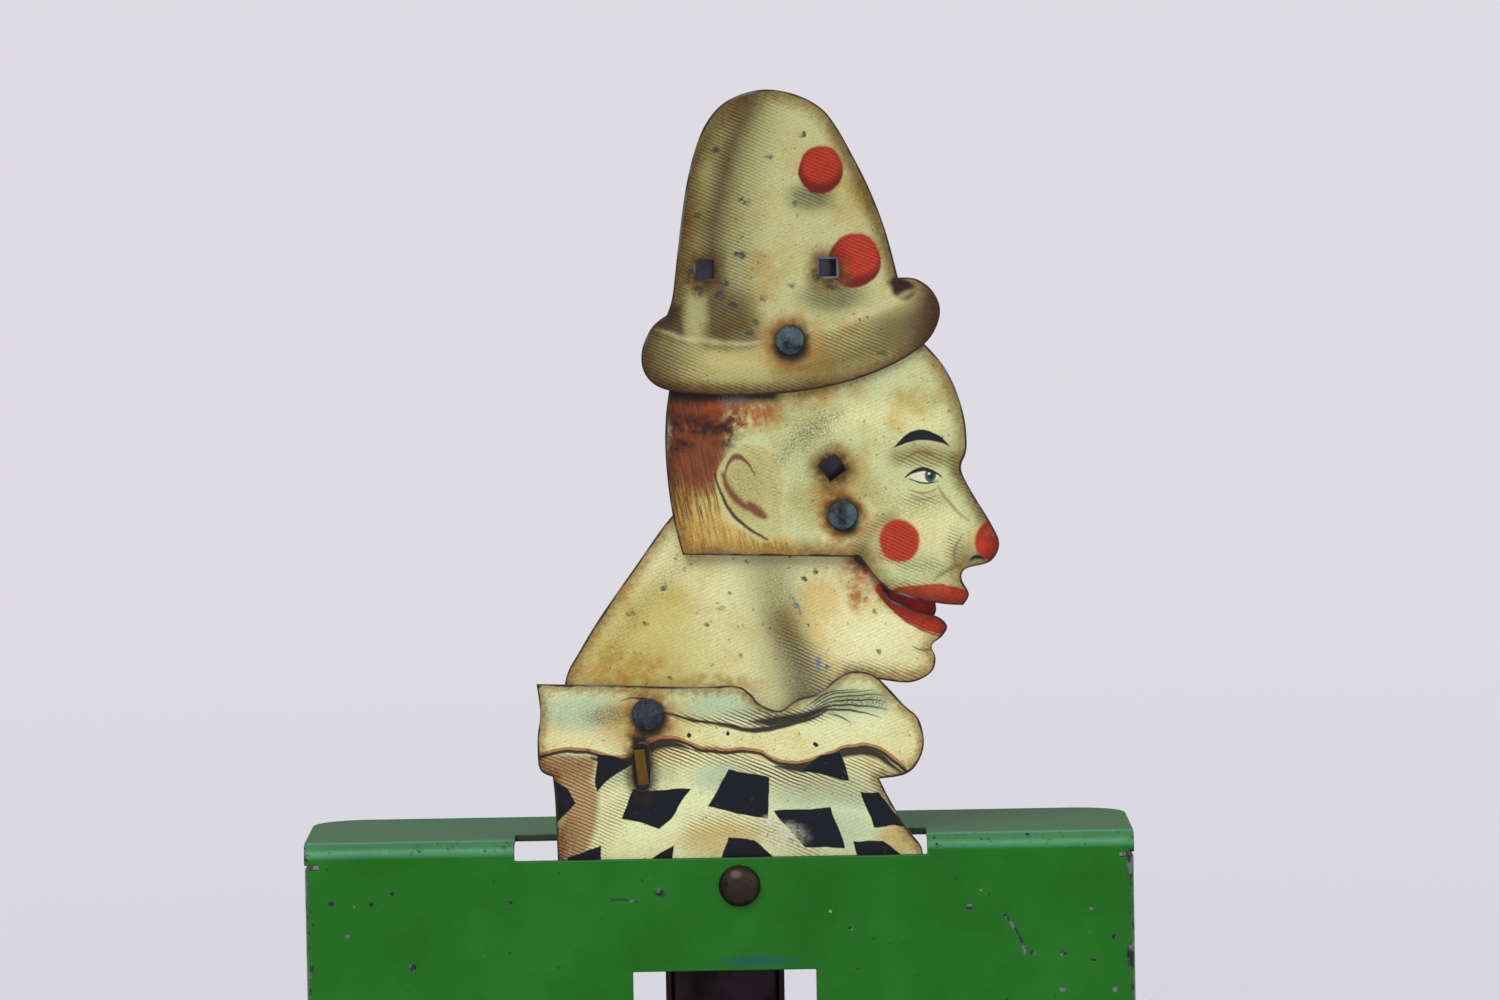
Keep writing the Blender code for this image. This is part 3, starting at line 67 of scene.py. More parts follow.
Point = tuple[float, float]
Size = tuple[float, float, float]
Colour = tuple[float, float, float]
Socket = bpy.types.NodeSocket
Node = bpy.types.Node
Tree = bpy.types.NodeTree

log = logging.getLogger("tin_clown")


def linear(colour: Colour) -> tuple[float, float, float, float]:
    """Turn a display colour of 0 to 255 into the renderer's linear colour.

    Args:
        colour: Red, green and blue from 0 to 255.

    Returns:
        Linear red, green, blue and a full alpha.
    """
    parts = []
    for part in colour:
        share = part / 255
        parts.append(share / 12.92 if share <= 0.04045 else ((share + 0.055) / 1.055) ** 2.4)
    return (*parts, 1.0)


# Node trees

class Graph:
    """A node tree with short calls for the nodes that the finishes are made of."""

    def __init__(self, tree: Tree) -> None:
        """Keep the tree that the nodes go into."""
        self.tree = tree

    def node(self, kind: str, **settings: object) -> Node:
        """Add a node.

        Args:
            kind: The node's type name.
            **settings: Properties to set on the node.

        Returns:
            The new node.
        """
        made = self.tree.nodes.new(kind)
        for name, value in settings.items():
            setattr(made, name, value)
        return made

    def feed(self, socket: Socket, value: object) -> None:
        """Link a socket to another one, or set its value.

        Args:
            socket: The input socket.
            value: An output socket, a number, a vector or a colour.
        """
        if isinstance(value, bpy.types.NodeSocket):
            self.tree.links.new(value, socket)
        else:
            socket.default_value = value

    def fill(self, node: Node, **values: object) -> None:
        """Feed a node's inputs.

        Args:
            node: The node.
            **values: What goes into each input, by the input's name with _ for a space.
        """
        for name, value in values.items():
            self.feed(node.inputs[name.replace("_", " ")], value)

    def math(self, operation: str, first: object, second: object = 0.0,
             clamped: bool = False) -> Socket:
        """Work out one value from two.

        Args:
            operation: The operation's name.
            first: A number or a socket.
            second: A number or a socket.
            clamped: Whether the result is held between 0 and 1.

        Returns:
            The result's socket.
        """
        made = self.node("ShaderNodeMath", operation=operation, use_clamp=clamped)
        self.feed(made.inputs[0], first)
        self.feed(made.inputs[1], second)
        return made.outputs[0]

    def plus(self, first: object, second: object) -> Socket:
        """Return the sum of two values."""
        return self.math("ADD", first, second)

    def minus(self, first: object, second: object) -> Socket:
        """Return the first value less the second."""
        return self.math("SUBTRACT", first, second)

    def times(self, first: object, second: object) -> Socket:
        """Return the product of two values."""
        return self.math("MULTIPLY", first, second)

    def larger(self, first: object, second: object) -> Socket:
        """Return the larger of two values."""
        return self.math("MAXIMUM", first, second)

    def unsigned(self, value: object) -> Socket:
        """Return a value without its sign."""
        return self.math("ABSOLUTE", value)

    def tally(self, base: object, *parts: tuple[Socket, float]) -> Socket:
        """Add values to a base, each times its own factor."""
        for value, factor in parts:
            base = self.plus(base, self.times(value, factor))
        return base

    def centred(self, clouds: Socket) -> Socket:
        """Return a cloudy value of 0 to 1 as one about 0."""
        return self.minus(clouds, 0.5)

    def vector(self, operation: str, first: object, second: object = (0.0, 0.0, 0.0)) -> Socket:
        """Work out a vector, or a number for a length or a dot product.

        Args:
            operation: The operation's name.
            first: A vector or a socket.
            second: A vector or a socket, or the factor of a SCALE.

        Returns:
            The result's socket.
        """
        made = self.node("ShaderNodeVectorMath", operation=operation)
        self.feed(made.inputs[0], first)
        if operation == "SCALE":
            self.feed(made.inputs["Scale"], second)
        elif operation not in ("LENGTH", "NORMALIZE"):
            self.feed(made.inputs[1], second)
        return made.outputs["Value" if operation in ("LENGTH", "DOT_PRODUCT") else "Vector"]

    def smooth(self, value: object, low: object, high: object) -> Socket:
        """Rise smoothly from 0 at low to 1 at high, or fall where high is less than low.

        Args:
            value: What is compared.
            low: Where the result is 0.
            high: Where the result is 1.

        Returns:
            The result's socket.
        """
        made = self.node("ShaderNodeMapRange", interpolation_type="SMOOTHSTEP")
        self.fill(made, Value=value, From_Min=low, From_Max=high)
        return made.outputs["Result"]

    def mix(self, share: object, first: object, second: object, blend: str = "MIX") -> Socket:
        """Mix two colours.

        Args:
            share: How much of the second colour there is.
            first: The colour below.
            second: The colour on top.
            blend: The blend's name.

        Returns:
            The mixed colour's socket.
        """
        made = self.node("ShaderNodeMix", data_type="RGBA", blend_type=blend)
        self.feed(made.inputs[0], share)
        self.feed(made.inputs[6], first)
        self.feed(made.inputs[7], second)
        return made.outputs[2]

    def paint(self, colour: object, mask: Socket, strength: float, ink: Colour) -> Socket:
        """Lay an ink over a colour, where a mask says and as strongly as is given."""
        return self.mix(self.times(mask, strength), colour, linear(ink))

    def blend(self, share: Socket, first: Node, second: Node) -> Socket:
        """Mix the light of two shaders, by the share of the second one."""
        made = self.node("ShaderNodeMixShader")
        for socket, value in zip(made.inputs, (share, first.outputs[0], second.outputs[0])):
            self.feed(socket, value)
        return made.outputs[0]

    def grey(self, tone: Socket) -> Socket:
        """Return a tone as a grey colour."""
        made = self.node("ShaderNodeCombineColor")
        for socket in made.inputs:
            self.feed(socket, tone)
        return made.outputs[0]

    def object_place(self) -> Socket:
        """Return the place on the object in metres."""
        return self.node("ShaderNodeTexCoord").outputs["Object"]

    def millimetres(self) -> Socket:
        """Return the place on the object in millimetres."""
        return self.vector("SCALE", self.object_place(), 1 / MM)

    def flat(self, place: Socket) -> Socket:
        """Return places pressed into the plane of the front."""
        return self.vector("MULTIPLY", place, (1.0, 0.0, 1.0))

    def use(self, group: Tree, **values: object) -> Node:
        """Place a node group.

        Args:
            group: The group's tree.
            **values: Its inputs by name, with _ for a space.

        Returns:
            The group's node.
        """
        made = self.node("ShaderNodeGroup", node_tree=group)
        self.fill(made, **values)
        return made


@dataclass(frozen=True)
class Clouds:
    """A cloudy value's scale, how many finer layers it has and how strong those are."""

    scale: float
    detail: float = 2.0
    roughness: float = 0.5

    def over(self, graph: Graph, place: Socket) -> Socket:
        """Return the value, from 0 to 1 and mostly about 0.5."""
        made = graph.node("ShaderNodeTexNoise")
        graph.fill(made, Vector=place, Scale=self.scale, Detail=self.detail,
                   Roughness=self.roughness)
        return made.outputs["Fac"]


@dataclass(frozen=True)
class Rise:
    """A smooth rise from 0 at low to 1 at high, or a fall where high is less than low."""

    low: float
    high: float

    def past(self, start: float) -> Rise:
        """Return the same rise, counted from a start."""
        return Rise(self.low + start, self.high + start)

    def of(self, graph: Graph, value: object) -> Socket:
        """Return the risen value."""
        return graph.smooth(value, self.low, self.high)


@dataclass(frozen=True)
class Lie:
    """How a grain lies: its turn about Y in degrees, then its stretch along each axis."""

    turn: float
    stretch: Size = (1.0, 1.0, 1.0)

    def of(self, graph: Graph, place: Socket) -> Socket:
        """Return places turned and stretched."""
        made = graph.node("ShaderNodeVectorRotate", rotation_type="Y_AXIS")
        graph.fill(made, Vector=place, Angle=math.radians(self.turn))
        return graph.vector("MULTIPLY", made.outputs[0], self.stretch)


@dataclass(frozen=True)
class Dots:
    """Scattered specks: their cells per millimetre, the share of cells with one, its size."""

    cells: float
    share: float
    size: float

    def over(self, graph: Graph, specks: Tree, place: Socket) -> Socket:
        """Return the specks' mask, made by the specks' node group."""
        made = graph.use(specks, Place=place, Cells=self.cells, Share=self.share, Size=self.size)
        return made.outputs[0]


@dataclass(frozen=True)
class Drift:
    """A random push of a drawing, as of a hand: its clouds per millimetre and its reach."""

    scale: float
    reach: float

    def of(self, graph: Graph, place: Socket) -> Socket:
        """Return the push, in millimetres."""
        waver = graph.node("ShaderNodeTexNoise")
        graph.fill(waver, Vector=place, Scale=self.scale)
        centred = graph.vector("SUBTRACT", waver.outputs["Color"], (0.5, 0.5, 0.5))
        return graph.vector("SCALE", centred, self.reach)


class Kind(Enum):
    """The kinds of socket on a node group."""

    NUMBER = "NodeSocketFloat"
    PLACE = "NodeSocketVector"
    COLOUR = "NodeSocketColor"


def new_group(name: str, takes: dict[str, Kind],
              gives: dict[str, Kind]) -> tuple[Graph, Node, Node]:
    """Start a shader node group.

    Args:
        name: The group's name.
        takes: The inputs and their kinds.
        gives: The outputs and their kinds.

    Returns:
        The group's graph, its input node and its output node.
    """
    tree = bpy.data.node_groups.new(name, "ShaderNodeTree")
    for label, kind in takes.items():
        tree.interface.new_socket(name=label, in_out="INPUT", socket_type=kind.value)
    for label, kind in gives.items():
        tree.interface.new_socket(name=label, in_out="OUTPUT", socket_type=kind.value)
    graph = Graph(tree)
    return graph, graph.node("NodeGroupInput"), graph.node("NodeGroupOutput")


@dataclass(frozen=True)
class BrushStroke:
    """A brush stroke between two places, bowed sideways and tapered to its ends.

    Its Fringe is a hairline along the stroke's upper side; fringe counts in its widths.
    """

    fringe: Rise = Rise(0.6, 0.2)

    def build(self) -> Tree:
        """Build the group."""
        graph, takes, gives = new_group(
            "brush stroke",
            {"Place": Kind.PLACE, "Start": Kind.PLACE, "End": Kind.PLACE, "Bow": Kind.NUMBER,
             "Width": Kind.NUMBER, "Taper": Kind.NUMBER, "Softness": Kind.NUMBER},
            {"Mask": Kind.NUMBER, "Fringe": Kind.NUMBER})
        given = takes.outputs
        width = given["Width"]
        along = graph.vector("SUBTRACT", given["End"], given["Start"])
        length = graph.vector("LENGTH", along)
        offset = graph.vector("SUBTRACT", given["Place"], given["Start"])
        share = graph.math("DIVIDE", graph.vector("DOT_PRODUCT", offset, along),
                           graph.times(length, length))
        held = graph.math("ADD", share, 0.0, clamped=True)
        across = graph.vector("CROSS_PRODUCT", along, (0.0, 1.0, 0.0))
        side = graph.math("DIVIDE", graph.vector("DOT_PRODUCT", offset, across), length)
        arch = graph.times(graph.times(held, 4.0), graph.minus(1.0, held))
        gap = graph.minus(side, graph.times(arch, given["Bow"]))
        past = graph.times(graph.minus(share, held), length)
        distance = graph.math("SQRT", graph.plus(graph.times(gap, gap), graph.times(past, past)))
        thinning = graph.times(given["Taper"], graph.minus(1.0, arch))
        half = graph.times(graph.times(width, 0.5), graph.minus(1.0, thinning))
        mask = graph.smooth(distance, graph.plus(half, given["Softness"]),
                            graph.minus(half, given["Softness"]))
        beyond = graph.plus(graph.unsigned(graph.minus(gap, width)), graph.unsigned(past))
        fringe = graph.smooth(beyond, graph.times(width, self.fringe.low),
                              graph.times(width, self.fringe.high))
        graph.fill(gives, Mask=mask, Fringe=fringe)
        return graph.tree


class OvalSpot:
    """An oval spot, whose Shrink is one over half of its width and height."""

    @staticmethod
    def build() -> Tree:
        """Build the group."""
        graph, takes, gives = new_group(
            "oval spot",
            {"Place": Kind.PLACE, "Centre": Kind.PLACE, "Shrink": Kind.PLACE,
             "Softness": Kind.NUMBER},
            {"Mask": Kind.NUMBER})
        given = takes.outputs
        offset = graph.vector("MULTIPLY", graph.vector("SUBTRACT", given["Place"], given["Centre"]),
                              given["Shrink"])
        mask = graph.smooth(graph.vector("LENGTH", offset), graph.plus(1.0, given["Softness"]),
                            graph.minus(1.0, given["Softness"]))
        graph.fill(gives, Mask=mask)
        return graph.tree


@dataclass(frozen=True)
class CorneredPatch:
    """A four-cornered patch, whose corners are given anticlockwise."""

    corners: tuple[str, ...] = ("First", "Second", "Third", "Fourth")

    def build(self) -> Tree:
        """Build the group."""
        graph, takes, gives = new_group(
            "patch",
            {"Place": Kind.PLACE, **{corner: Kind.PLACE for corner in self.corners},
             "Softness": Kind.NUMBER},
            {"Mask": Kind.NUMBER})
        given = takes.outputs
        inside = None
        for corner, following in zip(self.corners, self.corners[1:] + self.corners[:1]):
            along = graph.vector("SUBTRACT", given[following], given[corner])
            inwards = graph.vector("NORMALIZE",
                                   graph.vector("CROSS_PRODUCT", along, (0.0, 1.0, 0.0)))
            offset = graph.vector("SUBTRACT", given["Place"], given[corner])
            depth = graph.vector("DOT_PRODUCT", offset, inwards)
            inside = depth if inside is None else graph.math("MINIMUM", inside, depth)
        soft = given["Softness"]
        graph.fill(gives, Mask=graph.smooth(inside, graph.times(soft, -1.0), soft))
        return graph.tree


@dataclass(frozen=True)
class Specks:
    """Scattered specks, one at most in each cell of a random honeycomb.

    Its Share says how many of the cells hold a speck.
    """

    least_size: float = 0.4
    core: float = 0.5

    def build(self) -> Tree:
        """Build the group."""
        graph, takes, gives = new_group(
            "specks",
            {"Place": Kind.PLACE, "Cells": Kind.NUMBER, "Share": Kind.NUMBER, "Size": Kind.NUMBER},
            {"Mask": Kind.NUMBER})
        given = takes.outputs
        cells = graph.node("ShaderNodeTexVoronoi")
        graph.fill(cells, Vector=given["Place"], Scale=given["Cells"])
        chance = graph.node("ShaderNodeSeparateColor")
        graph.fill(chance, Color=cells.outputs["Color"])
        present = graph.math("LESS_THAN", chance.outputs[0], given["Share"])
        size = graph.times(given["Size"], graph.plus(self.least_size, chance.outputs[1]))
        near = graph.smooth(cells.outputs["Distance"], size, graph.times(size, self.core))
        graph.fill(gives, Mask=graph.times(near, present))
        return graph.tree


@dataclass(frozen=True)
class EngravedLines:
    """Fine engraved lines that waver."""

    waver: float = 3.5
    waver_layers: float = 1.0
    waver_scale: float = 0.35
    cut: Rise = Rise(0.45, 0.85)

    def build(self) -> Tree:
        """Build the group."""
        graph, takes, gives = new_group(
            "engraved lines", {"Place": Kind.PLACE, "Lines": Kind.NUMBER}, {"Mask": Kind.NUMBER})
        lines = graph.node("ShaderNodeTexWave", wave_type="BANDS", bands_direction="Z")
        graph.fill(lines, Vector=takes.outputs["Place"], Scale=takes.outputs["Lines"],
                   Distortion=self.waver, Detail=self.waver_layers, Detail_Scale=self.waver_scale)
        graph.fill(gives, Mask=self.cut.of(graph, lines.outputs["Fac"]))
        return graph.tree


@dataclass(frozen=True)
class AgedVarnish:
    """A varnished print's age: tanning, dark edges, engraver's grain, freckles, a worn rim.

    Its From Edge is the distance to the plate's edge in millimetres.
    """

    clouds: Clouds = Clouds(0.13, 4.0, 0.6)
    tanned: Rise = Rise(0.46, 0.70)
    ragged: Clouds = Clouds(1.5, 4.0, 0.7)
    fraying: float = 2.2
    full_shade: float = 0.1
    shade_strength: float = 0.85
    grain_lie: Lie = Lie(24, (1.2, 1.0, 5.0))
    grain: Clouds = Clouds(1.3, 3.0, 0.75)
    grain_tone: float = 0.62
    stipple: Clouds = Clouds(3.4, 2.0, 0.6)
    stipple_tone: float = 0.50
    lines_lie: Lie = Lie(22)
    lines: float = 0.80
    lines_tone: float = 0.09
    least_tone: float = 0.47
    freckle_drift_scale: float = 1.3
    freckle_drift: float = 1.1
    freckles: Dots = Dots(0.50, 0.46, 0.14)
    freckle_strength: float = 0.80
    dust: Dots = Dots(1.4, 0.46, 0.20)
    dust_strength: float = 0.50
    freckled: Rise = Rise(0.38, 0.52)
    freckle_colour: Colour = (62, 54, 44)
    uneven: Clouds = Clouds(0.45)
    uneven_reach: float = 0.50
    ragged_reach: float = 0.12
    rim: Rise = Rise(0.30, 0.10)
    nicks: Clouds = Clouds(0.16, 2.0, 0.6)
    nicked: Rise = Rise(0.54, 0.64)
    nick_strength: float = 0.7
    rim_colour: Colour = (46, 36, 32)
    nick_colour: Colour = (112, 120, 132)
    least_roughness: float = 0.36
    clouds_roughness: float = 0.22
    rim_roughness: float = 0.12
    swell: Clouds = Clouds(0.35)
    freckle_depth: float = 0.25
    grain_height: float = 0.10
    rim_depth: float = 0.30

    def build(self, specks: Tree, hatching: Tree) -> Tree:
        """Build the group.

        Args:
            specks: The specks' group.
            hatching: The engraved lines' group.

        Returns:
            The group.
        """
        graph, takes, gives = new_group(
            "aged varnish",
            {"Color": Kind.COLOUR, "Place": Kind.PLACE, "From Edge": Kind.NUMBER,
             "Tan": Kind.COLOUR, "Tan Share": Kind.NUMBER, "Shade": Kind.COLOUR,
             "Shade Reach": Kind.NUMBER},
            {"Color": Kind.COLOUR, "Roughness": Kind.NUMBER, "Height": Kind.NUMBER})
        given = takes.outputs
        place = given["Place"]
        clouds = self.clouds.over(graph, place)
        ragged = graph.centred(self.ragged.over(graph, place))
        grain = self.grain.over(graph, self.grain_lie.of(graph, place))
        tanned = graph.times(self.tanned.of(graph, clouds), given["Tan Share"])
        colour = graph.mix(tanned, given["Color"], given["Tan"], "MULTIPLY")
        frayed = graph.tally(given["From Edge"], (ragged, self.fraying))
        shaded = graph.smooth(frayed, given["Shade Reach"], self.full_shade)
        colour = graph.mix(graph.times(shaded, self.shade_strength), colour, given["Shade"],
                           "MULTIPLY")
        colour = graph.mix(1.0, colour, graph.grey(self.tone(graph, place, grain, hatching)),
                           "MULTIPLY")
        freckles = self.freckling(graph, place, clouds, specks)
        colour = graph.mix(freckles, colour, linear(self.freckle_colour))
        uneven = graph.centred(self.uneven.over(graph, place))
        line = graph.tally(given["From Edge"], (uneven, self.uneven_reach),
                           (ragged, self.ragged_reach))
        worn = self.rim.of(graph, line)
        nicked = self.nicked.of(graph, self.nicks.over(graph, place))
        rim = graph.mix(graph.times(nicked, self.nick_strength), linear(self.rim_colour),
                        linear(self.nick_colour))
        rough = graph.tally(self.least_roughness, (clouds, self.clouds_roughness),
                            (worn, self.rim_roughness))
        height = graph.minus(self.swell.over(graph, place),
                             graph.times(freckles, self.freckle_depth))
        height = graph.tally(height, (grain, self.grain_height))
        height = graph.minus(height, graph.times(worn, self.rim_depth))
        graph.fill(gives, Color=graph.mix(worn, colour, rim), Roughness=rough, Height=height)
        return graph.tree

    def tone(self, graph: Graph, place: Socket, grain: Socket, hatching: Tree) -> Socket:
        """Return how light the engraver's grain, stipple and lines leave the print.

        Args:
            graph: The group's graph.
            place: The place in millimetres.
            grain: The grain.
            hatching: The engraved lines' group.

        Returns:
            The tone's socket.
        """
        stipple = self.stipple.over(graph, place)
        tone = graph.tally(graph.times(grain, self.grain_tone), (stipple, self.stipple_tone))
        lines = graph.use(hatching, Place=self.lines_lie.of(graph, place), Lines=self.lines)
        tone = graph.minus(tone, graph.times(lines.outputs[0], self.lines_tone))
        return graph.plus(self.least_tone, tone)

    def freckling(self, graph: Graph, place: Socket, clouds: Socket, specks: Tree) -> Socket:
        """Return the mask of the freckles and the dust, which gather where it is cloudy.

        Args:
            graph: The group's graph.
            place: The place in millimetres.
            clouds: The clouds.
            specks: The specks' group.

        Returns:
            The mask's socket.
        """
        drift = graph.node("ShaderNodeTexNoise")
        graph.fill(drift, Vector=place, Scale=self.freckle_drift_scale)
        bent = graph.vector("ADD", place,
                            graph.vector("SCALE", drift.outputs["Color"], self.freckle_drift))
        freckles = self.freckles.over(graph, specks, bent)
        dust = self.dust.over(graph, specks, bent)
        mask = graph.larger(graph.times(freckles, self.freckle_strength),
                            graph.times(dust, self.dust_strength))
        return graph.times(mask, self.freckled.of(graph, clouds))


@dataclass(frozen=True)
class MetalGrain:
    """The drawn grain, stains and specks of bare metal."""

    grain_lie: Lie = Lie(4, (0.25, 6.0, 6.0))
    grain: Clouds = Clouds(1.0, 3.0, 0.6)
    clouds: Clouds = Clouds(0.22, 4.0, 0.65)
    least_tone: float = 0.78
    grain_tone: float = 0.44
    stained: Rise = Rise(0.45, 0.72)
    spots: Dots = Dots(0.9, 0.22, 0.22)
    stain_roughness: float = 0.25
    grain_roughness: float = 0.10
    grain_height: float = 0.15

    def build(self, specks: Tree) -> Tree:
        """Build the group from the specks' group."""
        graph, takes, gives = new_group(
            "metal grain",
            {"Color": Kind.COLOUR, "Stain": Kind.COLOUR, "Place": Kind.PLACE,
             "Stain Share": Kind.NUMBER, "Base Roughness": Kind.NUMBER},
            {"Color": Kind.COLOUR, "Roughness": Kind.NUMBER, "Height": Kind.NUMBER})
        given = takes.outputs
        place = given["Place"]
        grain = self.grain.over(graph, self.grain_lie.of(graph, place))
        clouds = self.clouds.over(graph, place)
        tone = graph.tally(self.least_tone, (grain, self.grain_tone))
        colour = graph.mix(1.0, given["Color"], graph.grey(tone), "MULTIPLY")
        stained = graph.times(self.stained.of(graph, clouds), given["Stain Share"])
        spots = graph.times(self.spots.over(graph, specks, place), given["Stain Share"])
        stained = graph.larger(stained, spots)
        rough = graph.tally(given["Base Roughness"], (stained, self.stain_roughness),
                            (grain, self.grain_roughness))
        height = graph.plus(graph.times(grain, self.grain_height), clouds)
        graph.fill(gives, Color=graph.mix(stained, colour, given["Stain"]), Roughness=rough,
                   Height=height)
        return graph.tree


@dataclass(frozen=True)
class PaintChips:
    """Paint chips, which gather where Wear is high."""

    ragged: Clouds = Clouds(1.1, 5.0, 0.72)
    wear_reach: float = 0.30
    chipped: Rise = Rise(0.74, 0.79)

    def build(self) -> Tree:
        """Build the group."""
        graph, takes, gives = new_group(
            "paint chips", {"Place": Kind.PLACE, "Wear": Kind.NUMBER}, {"Mask": Kind.NUMBER})
        ragged = self.ragged.over(graph, takes.outputs["Place"])
        reach = graph.tally(ragged, (takes.outputs["Wear"], self.wear_reach))
        graph.fill(gives, Mask=self.chipped.of(graph, reach))
        return graph.tree


class PrintersTools:
    """The node groups that draw the artwork and age every surface, each built once."""

    def __init__(self) -> None:
        """Build all the groups."""
        self.stroke = BrushStroke().build()
        self.spot = OvalSpot().build()
        self.patch = CorneredPatch().build()
        self.specks = Specks().build()
        self.hatching = EngravedLines().build()
        self.ageing = AgedVarnish().build(self.specks, self.hatching)
        self.metal_grain = MetalGrain().build(self.specks)
        self.chipping = PaintChips().build()


tools = PrintersTools()


# Artwork

def place_of(point: Point) -> Size:
    """Return an artwork point as a place in the plane of the plates."""
    return (point[0], 0.0, point[1])


@dataclass(frozen=True)
class Stroke:
    """A brush stroke, in millimetres; taper is the share of the width lost at its ends."""

    start: Point
    end: Point
    width: float
    bow: float = 0.0
    softness: float = 0.07
    taper: float = 0.0
    fringe: bool = False

    def mask(self, graph: Graph, place: Socket) -> Socket:
        """Return the stroke's mask, or its fringe's."""
        made = graph.use(tools.stroke, Place=place, Start=place_of(self.start),
                         End=place_of(self.end), Bow=self.bow, Width=self.width,
                         Taper=self.taper, Softness=self.softness)
        return made.outputs["Fringe" if self.fringe else "Mask"]


@dataclass(frozen=True)
class Spot:
    """An oval spot of half a width and half a height, in millimetres; softness is a share."""

    centre: Point
    half_width: float
    half_height: float
    softness: float = 0.05

    def mask(self, graph: Graph, place: Socket) -> Socket:
        """Return the spot's mask."""
        made = graph.use(tools.spot, Place=place, Centre=place_of(self.centre),
                         Shrink=(1 / self.half_width, 0.0, 1 / self.half_height),
                         Softness=self.softness)
        return made.outputs[0]


@dataclass(frozen=True)
class Patch:
    """A four-cornered patch, its corners anticlockwise, in millimetres."""

    first: Point
    second: Point
    third: Point
    fourth: Point
    softness: float = 0.06

    def mask(self, graph: Graph, place: Socket) -> Socket:
        """Return the patch's mask."""
        made = graph.use(tools.patch, Place=place, First=place_of(self.first),
                         Second=place_of(self.second), Third=place_of(self.third),
                         Fourth=place_of(self.fourth), Softness=self.softness)
        return made.outputs[0]


Shape = Stroke | Spot | Patch


def spots(softness: float, *ovals: tuple[float, float, float, float]) -> tuple[Spot, ...]:
    """Return spots of one softness.

    Args:
        softness: Their softness.
        *ovals: The X, the Z, half the width and half the height of each, in millimetres.

    Returns:
        The spots.
    """
    return tuple(Spot((x, z), half_width, half_height, softness)
                 for x, z, half_width, half_height in ovals)


class Touch(Enum):
    """How an ink lies on the plate."""

    SOLID = "solid"
    HATCHED = "hatched"
    STIPPLED = "stippled"
    RAGGED = "ragged"
    STREAKED = "streaked"


@dataclass(frozen=True)
class Ink:
    """One colour of a print and the shapes that it fills."""

    colour: Colour
    strength: float
    shapes: tuple[Shape, ...]
    touch: Touch = Touch.SOLID


def bumped(graph: Graph, shader: Node, height: Socket, strength: float, depth: float) -> None:
    """Give a shader a relief.

    Args:
        graph: The material's graph.
        shader: The Principled shader.
        height: The relief.
        strength: How strong it is.
        depth: How deep it is, in metres.
    """
    bump = graph.node("ShaderNodeBump")
    graph.fill(bump, Strength=strength, Distance=depth, Height=height)
    graph.fill(shader, Normal=bump.outputs["Normal"])


def new_material(name: str) -> tuple[bpy.types.Material, Graph, Node]:
    """Start a material.

    Args:
        name: The material's name.

    Returns:
        The material, its graph and its Principled shader.
    """
    material = bpy.data.materials.new(name)
    material.use_nodes = True
    return material, Graph(material.node_tree), material.node_tree.nodes["Principled BSDF"]


